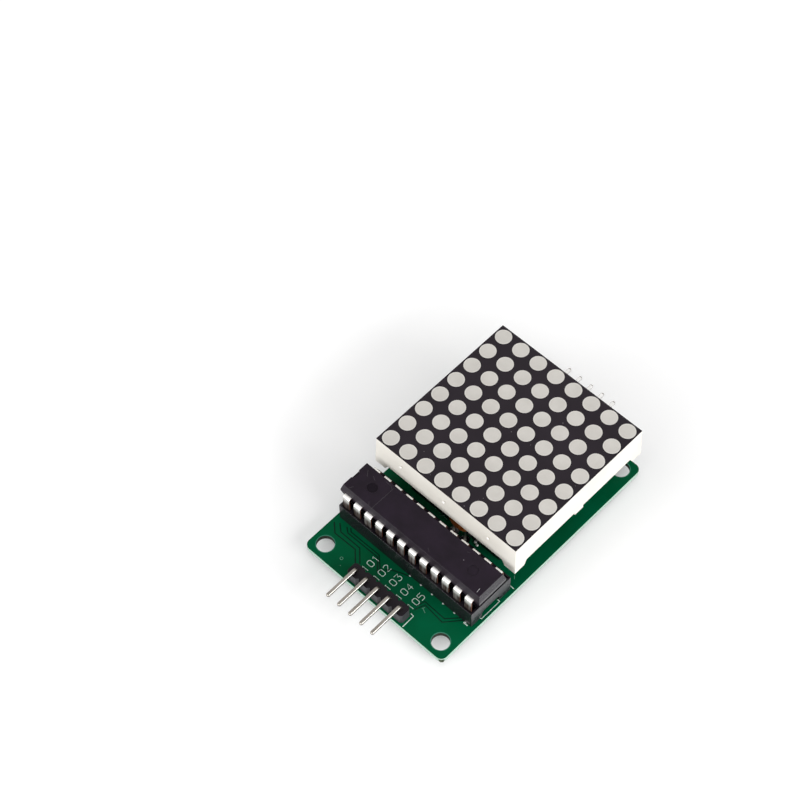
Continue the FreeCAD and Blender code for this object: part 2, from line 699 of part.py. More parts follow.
def make_ceramic():
    body = new_body("ceramic_capacitor")
    disc = new_sketch(body, "ceramic_disc", "XZ_Plane", ceramic_x, ceramic_middle, -ceramic_y)
    many_sided(disc, can_sides, ceramic_width)
    solid = pad(body, disc, ceramic_thick, both=True)

    def is_rim(edge):
        return edge.BoundBox.YLength < level_slack

    bevelled(body, solid, is_rim, (ceramic_thick - ceramic_rim) / 2)
    wires = new_body("ceramic_wires")
    wire = new_sketch(wires, "ceramic_wire", right=ceramic_x, up=ceramic_y, out=board_bottom)
    many_sided(wire, wire_sides, wire_width, -pin_pitch / 2)
    solid = pad(wires, wire, ceramic_middle - board_bottom)
    row(wires, "ceramic_wire_pair", [solid], pin_pitch, Size(2))
    seat = new_sketch(wires, "ceramic_seat", "XZ_Plane", ceramic_x, ceramic_middle, -ceramic_y)
    many_sided(seat, can_sides, ceramic_width)
    cut(wires, seat, ceramic_thick, both=True)


def make_electrolytic():
    base = board_top + can_lift
    can = new_body("electrolytic_can")
    wall = new_sketch(can, "can_round", right=can_x, up=can_y, out=base)
    many_sided(wall, can_sides, can_width)
    pad(can, wall, can_height)
    seat = new_sketch(can, "can_seat", right=can_x, up=can_y, out=base)
    many_sided(seat, can_sides, bung_width)
    cut(can, seat, bung_thick, down=True)
    sleeve = new_body("electrolytic_sleeve")
    tube = new_sketch(sleeve, "sleeve_round", right=can_x, up=can_y, out=base)
    many_sided(tube, can_sides, can_width + sleeve_thick * 2)
    many_sided(tube, can_sides, can_width)
    pad(sleeve, tube, can_height - sleeve_bare)
    bung = new_body("electrolytic_bung")
    plug = new_sketch(bung, "bung_round", right=can_x, up=can_y, out=base)
    many_sided(plug, can_sides, bung_width)
    pad(bung, plug, bung_thick)
    hole = new_sketch(bung, "bung_hole", right=can_x, up=can_y, out=base + bung_thick)
    many_sided(hole, wire_sides, wire_width, -can_pitch / 2)
    row(bung, "bung_holes", [cut(bung, hole)], can_pitch, Size(2))
    wires = new_body("electrolytic_wires")
    wire = new_sketch(wires, "can_wire", right=can_x, up=can_y, out=board_bottom)
    many_sided(wire, wire_sides, wire_width, -can_pitch / 2)
    solid = pad(wires, wire, base + bung_thick - board_bottom)
    row(wires, "can_wire_pair", [solid], can_pitch, Size(2))


def make_all_joints():
    pair = Size(2)
    make_joints("socket_joints", [(zero, socket_y, socket_ways, pin_pitch, socket_row)])
    make_joints("strip_joints", [(zero, display_y, display_pins, pin_pitch, display_row)])
    make_joints("header_joints", [(input_x, -header_y, header_pins, pin_pitch, None),
                                  (output_x, header_y, header_pins, pin_pitch, None)])
    make_joints("wire_joints", [(resistor_x, resistor_y, pair, resistor_span, None),
                                (ceramic_x, ceramic_y, pair, pin_pitch, None),
                                (can_x, can_y, pair, can_pitch, None)])


def make_everything():
    make_board()
    make_housing()
    make_mask()
    make_layers()
    for name, side in (("front", -1), ("rear", 1)):
        y = rear_row if side > 0 else front_row
        make_display_pins(f"display_pins_{name}", y)
        make_strip(f"strip_{name}", y)
        make_forks(f"strip_contacts_{name}", y)
    make_socket()
    make_chip()
    for name, side in (("front", -1), ("rear", 1)):
        make_leaves(f"socket_contacts_{name}", side)
        make_leads(f"chip_leads_{name}", side)
    make_headers()
    make_resistor()
    make_ceramic()
    make_electrolytic()
    make_all_joints()


def check_and_write():
    doc.recompute()
    for item in doc.Objects:
        if "Invalid" in item.State or "Error" in item.State:
            raise RuntimeError(f"{item.Name} did not build: {item.State}")
    for body in nodes:
        if body.Shape.isNull() or not body.Shape.isValid():
            raise RuntimeError(f"{body.Label} has no valid shape")
    os.makedirs("parts", exist_ok=True)
    for body in nodes:
        body.Shape.exportStep(os.path.join("parts", f"{body.Label}.step"))
        print(f"{body.Label}: {len(body.Shape.Solids)} solids, {body.Shape.Volume:.2f} mm3")


make_everything()
check_and_write()
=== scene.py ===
# %% [markdown]
# # A small lamp display module
# The module is a green circuit board that carries an 8 x 8 lamp display on two socket strips,
# a driver chip in its own socket and a bent pin header at each end. This lesson dresses the
# solids of the module in real finishes and adds the fine pieces that only show in a picture:
# poured resin lamps, copper lines, printed marks, pads and smooth solder.

# %% Load the frame
import math

import bpy
from mathutils import Matrix, Vector


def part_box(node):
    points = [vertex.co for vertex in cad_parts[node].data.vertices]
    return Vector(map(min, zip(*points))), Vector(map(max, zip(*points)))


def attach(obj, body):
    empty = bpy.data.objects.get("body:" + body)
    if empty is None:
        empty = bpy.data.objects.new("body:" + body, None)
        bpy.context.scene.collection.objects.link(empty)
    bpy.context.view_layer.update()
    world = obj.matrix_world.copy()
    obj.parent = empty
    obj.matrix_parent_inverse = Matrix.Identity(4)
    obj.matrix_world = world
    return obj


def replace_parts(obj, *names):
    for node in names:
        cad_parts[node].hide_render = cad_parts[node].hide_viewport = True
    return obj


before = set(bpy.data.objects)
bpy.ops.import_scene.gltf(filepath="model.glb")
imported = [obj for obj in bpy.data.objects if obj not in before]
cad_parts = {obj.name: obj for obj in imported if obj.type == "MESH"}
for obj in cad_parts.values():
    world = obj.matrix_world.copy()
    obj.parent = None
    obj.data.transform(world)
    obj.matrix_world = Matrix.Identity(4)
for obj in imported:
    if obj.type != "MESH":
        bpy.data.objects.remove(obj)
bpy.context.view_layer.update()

MM = 0.001

# %% [markdown]
# ## Places that every step needs
# The solids already sit where the real pieces do, so every place is read from their boxes.
# Nothing is typed in twice, and a new piece always lands on what carries it.

# %% Read the main places
board_low, board_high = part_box("circuit_board")
face_low, face_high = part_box("face_mask")
chip_low, chip_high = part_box("driver_chip")
socket_low, socket_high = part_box("chip_socket")
BOARD_TOP = board_high.z
BOARD_BOTTOM = board_low.z
FACE_TOP = face_high.z
DISPLAY_Y = (face_low.y + face_high.y) / 2
SOCKET_Y = (socket_low.y + socket_high.y) / 2
PIN_PITCH = 2.54 * MM


def middle_of(node):
    low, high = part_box(node)
    return (low + high) / 2


print("board top", BOARD_TOP, "face", FACE_TOP, "display", DISPLAY_Y, "socket", SOCKET_Y)

# %% [markdown]
# ## Selecting by hand
# Blender's operators act on whatever is selected, and the loaded solids are all selected at
# the start. Small helpers pick one piece, pick its faces by their place and work on them in
# edit mode, which is what a modeller does with the mouse. Others settle a piece, name it, or
# add the first form that it is made from.


# %% Helpers for selecting
def only(piece):
    bpy.ops.object.select_all(action="DESELECT")
    piece.select_set(True)
    bpy.context.view_layer.objects.active = piece
    return piece


def pick_faces(piece, wanted):
    """Selects the faces whose centre and normal answer the question, in object mode."""
    for part in (*piece.data.edges, *piece.data.vertices):
        part.select = False
    for face in piece.data.polygons:
        face.select = wanted(face.center, face.normal)
        if face.select:
            for index in face.vertices:
                piece.data.vertices[index].select = True


def in_edit_mode(piece, work, mode="FACE"):
    only(piece)
    bpy.ops.object.mode_set(mode="EDIT")
    bpy.ops.mesh.select_mode(type=mode)
    work()
    bpy.ops.object.mode_set(mode="OBJECT")


def settle(piece):
    """Puts the piece's place into its mesh, as the solids have it."""
    only(piece)
    bpy.ops.object.transform_apply(location=True, rotation=True, scale=True)
    return piece


def name_it(name):
    """Names the piece that an operator has just made."""
    piece = bpy.context.object
    piece.name = piece.data.name = name
    return piece


def begun(add, name, **settings):
    """Adds a first form with one of Blender's operators."""
    bpy.ops.object.select_all(action="DESELECT")
    add(**settings)
    return name_it(name)


# %% [markdown]
# ## Copies and joined sets
# What repeats on the module, such as its lamps, leads and pads, is modelled once. Each copy
# gets a mesh of its own and moves to its place, and a set that is made together on the real
# module becomes one piece.


# %% Helpers for copies
def joined(pieces, name):
    bpy.ops.object.select_all(action="DESELECT")
    for piece in pieces:
        piece.select_set(True)
    bpy.context.view_layer.objects.active = pieces[0]
    if len(pieces) > 1:
        bpy.ops.object.join()
    return settle(name_it(name))


def repeated(first, places, name):
    """One copy of the first piece at each place, joined into one piece."""
    copies = []
    for place in places:
        twin = first.copy()
        twin.data = first.data.copy()
        bpy.context.collection.objects.link(twin)
        twin.location = Vector(place)
        copies.append(twin)
    bpy.data.objects.remove(first)
    return joined(copies, name)


def centred_row(count, pitch):
    return [(i - (count - 1) / 2) * pitch for i in range(count)]


def at_height(places, height):
    return [(place[0], place[1], height) for place in places]


def modified(piece, kind, **settings):
    only(piece)
    modifier = piece.modifiers.new(kind.title(), type=kind)
    for key, value in settings.items():
        setattr(modifier, key, value)
    bpy.ops.object.modifier_apply(modifier=modifier.name)
    return piece


def bevelled(piece, width, segments, degrees):
    """Rounds every edge that is sharper than the angle."""
    return modified(piece, "BEVEL", width=width, segments=segments, limit_method="ANGLE",
                    angle_limit=math.radians(degrees))


def without(piece, cutter):
    """Takes the cutter's shape out of the piece."""
    modified(piece, "BOOLEAN", operation="DIFFERENCE", object=cutter, solver="EXACT")
    bpy.data.objects.remove(cutter)
    return piece


def smooth(piece, degrees=35):
    only(piece)
    bpy.ops.object.shade_smooth_by_angle(angle=math.radians(degrees))
    return piece


def flat_between_edges(piece, degrees=35):
    """Smooth round the bevels, while each large face stays plainly flat."""
    smooth(piece, degrees)
    return modified(piece, "WEIGHTED_NORMAL", keep_sharp=True)


# %% [markdown]
# ## Pieces that keep their solid's form
# A moulded block has the form of its solid, but its real edges are a little round, and that
# roundness is what catches the light. The solid's mesh is copied, its doubled points are
# merged, its flat faces are made whole, and a narrow bevel goes round every hard edge.
# Each finished piece is then tied to the module, gets its finish and is listed with its faces.


# %% Helpers that ease a solid's edges and finish a piece
WELD = 0.0005 * MM


def eased(node, width, segments=2):
    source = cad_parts[node]
    piece = source.copy()
    piece.data = source.data.copy()
    piece.parent = None
    piece.matrix_world = Matrix.Identity(4)
    for key in list(piece.keys()):
        del piece[key]
    piece.name = f"{node}_shape"
    bpy.context.collection.objects.link(piece)

    def clean():
        bpy.ops.mesh.select_all(action="SELECT")
        bpy.ops.mesh.remove_doubles(threshold=WELD)
        bpy.ops.mesh.dissolve_limited(angle_limit=math.radians(1))

    in_edit_mode(piece, clean, "VERT")
    bevelled(piece, width, segments, 32)
    flat_between_edges(piece)
    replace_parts(piece, node)
    return piece


def finish_piece(piece, material):
    """Gives a piece its finish and its place on the module, and prints what was made."""
    piece.data.materials.clear()
    piece.data.materials.append(material)
    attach(piece, "root")
    print(piece.name, "in", material.name, "with", len(piece.data.polygons), "faces")
    return piece


def second_finish(piece, material, wanted):
    """Gives another finish to the faces whose centre and normal answer the question."""
    piece.data.materials.append(material)
    last = len(piece.data.materials) - 1
    for face in piece.data.polygons:
        if wanted(face.center, face.normal):
            face.material_index = last
    return piece


# %% [markdown]
# ## Shader nodes, one line each
# A finish is a short chain of shader nodes. In the editor a node is added, set, and its
# sockets are typed in or wired up. One helper does the same in code: a socket that is given
# another node's output is wired to it, and one that is given a number or a colour is set.
# The other helpers add the three nodes that every chain here needs.


# %% Helpers that add nodes
def feed(tree, socket, value):
    if isinstance(value, bpy.types.NodeSocket):
        tree.links.new(value, socket)
    else:
        socket.default_value = (*value, 1) if socket.type == "RGBA" else value


def add_node(tree, kind, inputs=(), **settings):
    node = tree.nodes.new("ShaderNode" + kind)
    for key, value in settings.items():
        setattr(node, key, value)
    for key, value in dict(inputs).items():
        feed(tree, node.inputs[key], value)
    return node


def number(tree, operation, *values, **settings):
    """Calculates with numbers or sockets."""
    node = add_node(tree, "Math", enumerate(values), operation=operation, **settings)
    return node.outputs["Value"]


def ranged(tree, value, span=(0, 1), end=(0, 1)):
    """Moves a value from one span onto another."""
    inputs = {"Value": value, "From Min": span[0], "From Max": span[1],
              "To Min": end[0], "To Max": end[1]}
    return add_node(tree, "MapRange", inputs).outputs["Result"]


def mixed(tree, share, first, second, name="Mix"):
    inputs = {"Factor": share, "A": first, "B": second}
    return add_node(tree, "Mix", inputs, data_type="RGBA", name=name).outputs["Result"]


# %% [markdown]
# ## A fine grain for every moulded or printed surface
# No real surface is even. One node group holds the two things that break up a finish: a fine
# grain that feeds the bump, and wide soft patches that shift the colour and the gloss a
# little. Each material places the group with its own scale. A third output marks a few
# specks of dust, which show up on the black faces.


# %% Build the grain group
PATCH_SPREAD = (0.35, 0.65)
DUST_SCALE = 750
DUST_REACH = 0.075
DUST_MISSING = 0.72


def make_grain_group():
    group = bpy.data.node_groups.new("surface_grain", "ShaderNodeTree")
    face = group.interface
    face.new_socket("Vector", in_out="INPUT", socket_type="NodeSocketVector")
    for name, usual in (("Grain Scale", 6000), ("Patch Scale", 120)):
        socket = face.new_socket(name, in_out="INPUT", socket_type="NodeSocketFloat")
        socket.default_value = usual
    for name in ("Grain", "Patches", "Dust"):
        face.new_socket(name, in_out="OUTPUT", socket_type="NodeSocketFloat")
    given = group.nodes.new("NodeGroupInput").outputs
    result = group.nodes.new("NodeGroupOutput").inputs
    place = given["Vector"]
    grain = add_node(group, "TexNoise",
                     {"Vector": place, "Scale": given["Grain Scale"], "Detail": 3})
    patches = add_node(group, "TexNoise", {"Vector": place, "Scale": given["Patch Scale"],
                                           "Detail": 4, "Roughness": 0.6})
    cells = add_node(group, "TexVoronoi", {"Vector": place, "Scale": DUST_SCALE})
    chance = add_node(group, "SeparateColor", {"Color": cells.outputs["Color"]})
    near = number(group, "LESS_THAN", cells.outputs["Distance"], DUST_REACH)
    few = number(group, "GREATER_THAN", chance.outputs["Red"], DUST_MISSING)
    feed(group, result["Grain"], grain.outputs["Fac"])
    feed(group, result["Patches"], ranged(group, patches.outputs["Fac"], PATCH_SPREAD))
    feed(group, result["Dust"], number(group, "MULTIPLY", near, few))
    return group


surface_grain = make_grain_group()
print("node group", surface_grain.name)

# %% [markdown]
# ## One way to write a finish
# Every finish of the module has the same parts: two close colours that the patches mix, a
# gloss that drifts between two values, and a bump. The helper builds those nodes and hands
# back the material, after it has printed its name. A second helper opens such a finish
# again, so that a finish can add what is special about it.


# %% Helpers that write a finish
def shader_of(material):
    return material.node_tree.nodes["Principled BSDF"].inputs


def new_finish(name, dark, light, gloss, grain=(6000, 120), bump=(0.1, 0.01), metal=0.0,
               mirror=0.5, dust=None):
    material = bpy.data.materials.new(name)
    material.use_nodes = True
    tree, shader = material.node_tree, shader_of(material)
    place = add_node(tree, "TexCoord").outputs["Object"]
    scales = {"Vector": place, "Grain Scale": grain[0], "Patch Scale": grain[1]}
    uneven = add_node(tree, "Group", scales, node_tree=surface_grain).outputs
    colour = mixed(tree, uneven["Patches"], dark, light, "Colour")
    if dust:
        colour = mixed(tree, uneven["Dust"], colour, dust)
    relief = add_node(tree, "Bump", {"Strength": bump[0], "Distance": bump[1] * MM,
                                     "Height": uneven["Grain"]})
    feed(tree, shader["Base Color"], colour)
    feed(tree, shader["Roughness"], ranged(tree, uneven["Patches"], end=gloss))
    feed(tree, shader["Normal"], relief.outputs["Normal"])
    shader["Metallic"].default_value = metal
    shader["Specular IOR Level"].default_value = mirror
    print("finish", material.name)
    return material


def opened(material):
    """The tree of a finish, its colour, its object coordinates and their three axes."""
    tree = material.node_tree
    place = tree.nodes["Texture Coordinate"].outputs["Object"]
    axes = add_node(tree, "SeparateXYZ", {"Vector": place}).outputs
    return tree, tree.nodes["Colour"].outputs["Result"], place, axes


def painted(material, colour):
    feed(material.node_tree, shader_of(material)["Base Color"], colour)
    return material


# %% [markdown]
# ## The plastics
# The housing is white, the socket and strips are black with a half gloss that mirrors the
# board, and the chip's moulding compound is a satin charcoal with a faint violet cast.

# %% Plastics
DUST = (0.16, 0.15, 0.16)
MOULD_GRAIN = {"grain": (9000, 260), "bump": (0.4, 0.012)}
white_plastic = new_finish("white_plastic", (0.80, 0.765, 0.695), (0.85, 0.82, 0.755), (0.40, 0.50))
black_plastic = new_finish(
    "black_plastic", (0.008, 0.006, 0.009), (0.013, 0.010, 0.014), (0.16, 0.26), mirror=0.36)
header_plastic = new_finish(
    "header_plastic", (0.006, 0.004, 0.006), (0.010, 0.007, 0.010), (0.34, 0.46), mirror=0.14)
# A lighter copy of the black plastic: painted light on lit end faces and a painted highlight on the
# socket's top rim.
lit_end_plastic = new_finish(
    "lit_end_plastic", (0.020, 0.018, 0.024), (0.032, 0.029, 0.036), (0.20, 0.36), grain=(5000, 500),
    mirror=0.8)
chip_mould = new_finish(
    "chip_mould", (0.011, 0.007, 0.012), (0.016, 0.010, 0.018), (0.36, 0.50), **MOULD_GRAIN,
    mirror=0.12, dust=DUST)
mask_print = new_finish(
    "mask_print", (0.009, 0.005, 0.009), (0.014, 0.009, 0.014), (0.40, 0.50), grain=(7000, 90),
    bump=(0.2, 0.008), mirror=0.22, dust=DUST)
rubber = new_finish("rubber", (0.015, 0.015, 0.015), (0.03, 0.03, 0.03), (0.6, 0.75))
sleeve_film = new_finish("sleeve_film", (0.010, 0.011, 0.020), (0.02, 0.02, 0.034), (0.22, 0.3))
base_board = new_finish("base_board", (0.50, 0.47, 0.28), (0.6, 0.55, 0.36), (0.4, 0.55))

# %% [markdown]
# ## The metals
# The leads and pins are copper or brass with a bright tin coat. The coat is drawn along the
# strip, so its gloss drifts along the lead. Solder is smoother and a little darker.

# %% Metals
TIN_COAT = {"grain": (5000, 150), "bump": (0.05, 0.01)}
tinned = new_finish(
    "tinned_metal", (0.27, 0.245, 0.215), (0.33, 0.305, 0.27), (0.26, 0.34), **TIN_COAT, metal=1.0)
# A much lighter copy of the tin: painted light for parts that show blown-out white.
lit_tin = new_finish(
    "lit_tin", (0.84, 0.83, 0.81), (0.93, 0.92, 0.90), (0.2, 0.3), **TIN_COAT, metal=0.7)
pad_tin = new_finish("pad_tin", (0.90, 0.90, 0.88), (0.95, 0.95, 0.94), (0.3, 0.4), metal=0.15)
# A lighter copy of the tin, used as a painted highlight along the pins' upper right bevel.
pin_edge_highlight = new_finish(
    "pin_edge_highlight", (0.55, 0.53, 0.49), (0.70, 0.68, 0.64), (0.2, 0.3), **TIN_COAT, metal=1.0)
solder = new_finish(
    "solder", (0.58, 0.58, 0.57), (0.74, 0.74, 0.72), (0.16, 0.34), grain=(3000, 700),
    bump=(0.2, 0.02), metal=1.0)
can_metal = new_finish("can_metal", (0.72, 0.72, 0.73), (0.84, 0.84, 0.85), (0.25, 0.35), metal=1.0)
cut_copper = new_finish(
    "cut_copper", (0.10, 0.035, 0.02), (0.22, 0.085, 0.05), (0.4, 0.55), metal=0.6)

# %% Tin that is white on a lead's shoulder, with painted shade that goes streaky and brown down its drop
LEAD_SHADE = (0.055, 0.034, 0.028)
LEAD_SHADE_DROPS = 0.7 * MM, 1.75 * MM
STREAK_STRETCH = (1.0, 1.0, 0.06)
lead_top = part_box("chip_leads_front")[1].z
lead_metal = new_finish(
    "lead_metal", (0.80, 0.78, 0.75), (0.93, 0.92, 0.90), (0.36, 0.50), grain=(5000, 400),
    bump=(0.15, 0.01), metal=0.6)
tree, colour, place, axes = opened(lead_metal)
# Painted shade: the colour darkens to brown towards the bottom of the lead's drop.
down = ranged(tree, axes["Z"], [lead_top - drop for drop in LEAD_SHADE_DROPS])
drawn = add_node(tree, "Mapping", {"Vector": place, "Scale": STREAK_STRETCH}).outputs["Vector"]
streaks = add_node(tree, "TexNoise", {"Vector": drawn, "Scale": 2600, "Detail": 3})
spread = ranged(tree, streaks.outputs["Fac"], PATCH_SPREAD, (0.70, 1.10))
painted_shade = number(tree, "MULTIPLY", down, spread, use_clamp=True)
painted(lead_metal, mixed(tree, painted_shade, colour, LEAD_SHADE))

# %% [markdown]
# ## The board's lacquer and its cut edge
# The board is pale glass fibre between two coats of glossy green lacquer. The lacquer only
# covers the flat faces, so the finish asks how high a point is: between the two faces it
# shows the pale cut edge, and elsewhere the green.

# %% Board lacquer
LACQUER_THICK = 0.06 * MM
CUT_EDGE = (0.42, 0.58, 0.49)
board_lacquer = new_finish(
    "board_lacquer", (0.0, 0.073, 0.026), (0.0, 0.098, 0.040), (0.18, 0.28), grain=(2500, 60),
    bump=(0.08, 0.02), mirror=0.03)
tree, colour, _, axes = opened(board_lacquer)
half_thick = (BOARD_TOP - BOARD_BOTTOM) / 2
depth = number(tree, "ABSOLUTE", number(tree, "SUBTRACT", axes["Z"], BOARD_TOP - half_thick))
is_face = ranged(tree, depth, (half_thick - LACQUER_THICK * 1.5, half_thick - LACQUER_THICK))
painted(board_lacquer, mixed(tree, is_face, CUT_EDGE, colour))
gap_lacquer = new_finish(
    "gap_lacquer", (0.0, 0.014, 0.007), (0.0, 0.021, 0.010), (0.2, 0.3), mirror=0.1)
print_ink = new_finish(
    "print_ink", (0.56, 0.68, 0.62), (0.74, 0.82, 0.77), (0.5, 0.6), grain=(6000, 900), mirror=0.2)
hole_wall_shade = new_finish(
    "hole_wall_shade", (0.012, 0.014, 0.010), (0.03, 0.034, 0.024), (0.5, 0.6), mirror=0.2)
hole_rim = new_finish("hole_rim", (0.01, 0.13, 0.08), (0.05, 0.22, 0.15), (0.3, 0.4), mirror=0.2)
worn_print = new_finish(
    "worn_print", (0.06, 0.20, 0.13), (0.16, 0.32, 0.24), (0.4, 0.5), grain=(6000, 900), mirror=0.2)
torn_laminate = new_finish(
    "torn_laminate", (0.02, 0.035, 0.022), (0.10, 0.12, 0.07), (0.7, 0.9), grain=(4000, 2500),
    bump=(0.8, 0.08), mirror=0.2)

# %% [markdown]
# ## Moulded blocks with eased edges
# The board, the housing, the strips, the socket and the header blocks keep the form of their
# solids. Only the width of the bevel differs: a moulding tool leaves a larger radius on a
# big housing than on a small block.

# %% Ease and finish the blocks
BLOCKS = [
    ("circuit_board", 0.04, board_lacquer, "solder_mask_green"),
    ("display_housing", 0.05, white_plastic, "housing_white"),
    ("strip_front", 0.07, black_plastic, "black_plastic"),
    ("strip_rear", 0.07, black_plastic, "black_plastic"),
    ("chip_socket", 0.05, black_plastic, "black_plastic"),
    ("input_header", 0.03, header_plastic, "black_plastic"),
    ("output_header", 0.03, header_plastic, "black_plastic"),
]
blocks = {}
for node, width, material, slot in BLOCKS:
    blocks[node] = finish_piece(eased(node, width * MM), material)

# Painted light: the headers' sides and ends are a lighter copy of their dark plastic.
lit_header_side = new_finish(
    "lit_header_side", (0.026, 0.024, 0.030), (0.034, 0.031, 0.038), (0.42, 0.48), mirror=0.7)

# %% Paint the ends and fronts of the black blocks lighter: painted light on lit faces, a painted highlight on the socket's rim
END_DEPTH = 0.3 * MM
for node in ("chip_socket", "input_header", "output_header"):
    is_socket = node == "chip_socket"
    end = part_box(node)[1].x - END_DEPTH

    # Picks the faces that get painted light: lit ends, the socket's rim, and the headers' sides.
    def lit_face(centre, normal):
        at_end = abs(normal.x) > 0.9 and abs(centre.x) > end
        on_rim = normal.z > 0.2 and normal.y < -0.2
        return at_end or (on_rim if is_socket else abs(normal.z) < 0.75)

    second_finish(blocks[node], lit_end_plastic if is_socket else lit_header_side, lit_face)
    print(node, [material.name for material in blocks[node].data.materials])

# %% [markdown]
# ## Walls of the mounting holes
# A mounting hole is drilled after the lacquer, so its wall is bare laminate, and a thin ring
# round it is left without lacquer. The wall is painted near black, as painted shade inside the
# hole. The wall faces are picked by their place and get that finish, and the ring is a flat
# disc with a hole through it.


# %% Finish the holes
def flat_ring(width, hole, thick, sides=28):
    """A flat ring: a low cylinder with a round hole taken out of it."""
    disc, drill = [
        begun(bpy.ops.mesh.primitive_cylinder_add, "ring", vertices=sides, radius=reach, depth=deep)
        for reach, deep in ((width / 2, thick), (hole / 2, thick * 4))]
    return without(disc, drill)


EDGE_ZONE = 0.5 * MM
MOUNT_HOLE = 3.2 * MM
RIM_WIDTH, RIM_THICK = 0.13 * MM, 0.02 * MM
MOUNT_X, MOUNT_Y = 13.4 * MM, board_high.y - 2.55 * MM
# Painted shade: the hole walls get a near-black finish.
second_finish(blocks["circuit_board"], hole_wall_shade,
              lambda centre, normal: abs(normal.z) < 0.3
              and abs(centre.x) < board_high.x - EDGE_ZONE
              and abs(centre.y) < board_high.y - EDGE_ZONE)
mounts = [(x, y) for x in (-MOUNT_X, MOUNT_X) for y in (-MOUNT_Y, MOUNT_Y)]
rings = repeated(flat_ring(MOUNT_HOLE + 2 * RIM_WIDTH, MOUNT_HOLE, RIM_THICK, 48),
                 at_height(mounts, BOARD_TOP) + at_height(mounts, BOARD_BOTTOM), "hole_rims")
finish_piece(rings, hole_rim)

# %% [markdown]
# ## Header pins
# A header pin is drawn square wire, bent once in a tool, with its end pressed to a blunt
# point. Its solid has that form already, so only a bevel is added. The bright line along each
# input pin is a painted highlight on its upper right bevel, and the output pins are painted in
# lit tin with darker tips, a painted reflection.

# %% Ease the header pins
TIP_LENGTH, PIN_BEVEL = 0.35 * MM, 0.12 * MM
for side in ("input", "output"):
    for count in range(1, 6):
        pin = eased(f"{side}_pin_{count}", PIN_BEVEL, 3)
        tip = max(abs(corner.y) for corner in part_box(f"{side}_pin_{count}")) - TIP_LENGTH
        if side == "input":
            finish_piece(pin, tinned)
            # Painted highlight along the upper right bevel of each input pin.
            second_finish(pin, pin_edge_highlight, lambda centre, normal: 0.2 < normal.x < 0.97
                          and normal.z > 0.2)
        else:
            # Output pins are in lit tin, painted light, and their tips in the darker tin as a
            # painted reflection.
            finish_piece(pin, lit_tin)
            second_finish(pin, tinned, lambda centre, normal: abs(centre.y) > tip)

# %% [markdown]
# ## The face mask
# The face of the display is printed black all round the lamps, so the mask is a thin plate
# with a round window for each lamp. A plate is added, one round cutter is made and repeated
# on the lamps' pitch, and the cutters are taken out of the plate with a Boolean.

# %% Cut the round windows
LAMP_PITCH = 4.0 * MM
LAMP_ROWS = 8
WINDOW_WIDTH = 3.0 * MM
lamp_places = [(x, DISPLAY_Y + y, 0.0) for x in centred_row(LAMP_ROWS, LAMP_PITCH)
               for y in centred_row(LAMP_ROWS, LAMP_PITCH)]
size, middle = face_high - face_low, middle_of("face_mask")
plate = begun(bpy.ops.mesh.primitive_cube_add, "face_mask_print", size=1, location=middle)
plate.scale = size
settle(plate)
cutter = begun(bpy.ops.mesh.primitive_cylinder_add, "cutter", vertices=48,
               radius=WINDOW_WIDTH / 2, depth=size.z * 6)
without(plate, repeated(cutter, at_height(lamp_places, middle.z), "cutters"))
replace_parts(plate, "face_mask")
finish_piece(smooth(plate), mask_print)

# %% [markdown]
# ## The lamps
# Each lamp is a well in the white housing, filled with cloudy resin that hardens with a
# slightly hollow top. Seen from outside it is a pale grey disc with a thin brighter rim,
# where the white wall of the well shows. The disc starts as a low cylinder, and its top face
# is inset twice and pushed down. The finish finds the rim by wrapping the coordinates round
# the lamps' pitch.

# %% Resin finish
RIM_SPAN = (WINDOW_WIDTH / 2 - 0.20 * MM, WINDOW_WIDTH / 2 - 0.12 * MM)
WELL_WALL = (0.68, 0.655, 0.61)
cloudy_resin = new_finish(
    "cloudy_resin", (0.585, 0.560, 0.520), (0.635, 0.610, 0.570), (0.30, 0.42),
    grain=(3000, 300), bump=(0.05, 0.01))
tree, colour, _, axes = opened(cloudy_resin)
squares = []
for axis, middle in (("X", 0.0), ("Y", DISPLAY_Y)):
    shifted = number(tree, "SUBTRACT", axes[axis], middle - LAMP_PITCH / 2)
    wrapped = number(tree, "WRAP", shifted, LAMP_PITCH / 2, -LAMP_PITCH / 2)
    squares.append(number(tree, "MULTIPLY", wrapped, wrapped))
reach = number(tree, "SQRT", number(tree, "ADD", *squares))
painted(cloudy_resin, mixed(tree, ranged(tree, reach, RIM_SPAN), colour, WELL_WALL))

# %% Model one lamp and repeat it
LAMP_LOOSE, LAMP_DEEP, LAMP_LIFT = 0.005 * MM, 0.095 * MM, 0.05 * MM
LAMP_LIP, LAMP_SLOPE, LAMP_HOLLOW = 0.16 * MM, 0.3 * MM, 0.02 * MM
lamp = begun(bpy.ops.mesh.primitive_cylinder_add, "lamp", vertices=40,
             radius=WINDOW_WIDTH / 2 - LAMP_LOOSE, depth=LAMP_DEEP)
pick_faces(lamp, lambda centre, normal: normal.z > 0.9)


def hollow():
    bpy.ops.mesh.inset(thickness=LAMP_LIP)
    bpy.ops.mesh.inset(thickness=LAMP_SLOPE)
    bpy.ops.transform.translate(value=(0, 0, -LAMP_HOLLOW))


in_edit_mode(lamp, hollow)
lamps = repeated(lamp, at_height(lamp_places, face_low.z + LAMP_LIFT), "lamp_resin")
finish_piece(smooth(lamps, 50), cloudy_resin)

# %% [markdown]
# ## The driver chip
# The chip is pressed from moulding compound in a two part tool: two tapered halves meet at a
# straight band where the leads come out. A box as high as the band is extruded up and down
# and its end faces are drawn in, then the end notch and the two ejector marks are cut. The
# sides of the mould get more gloss, its ends are painted lighter as painted light, the band at
# its ends is a painted highlight, and the marks are painted darker as painted shade.

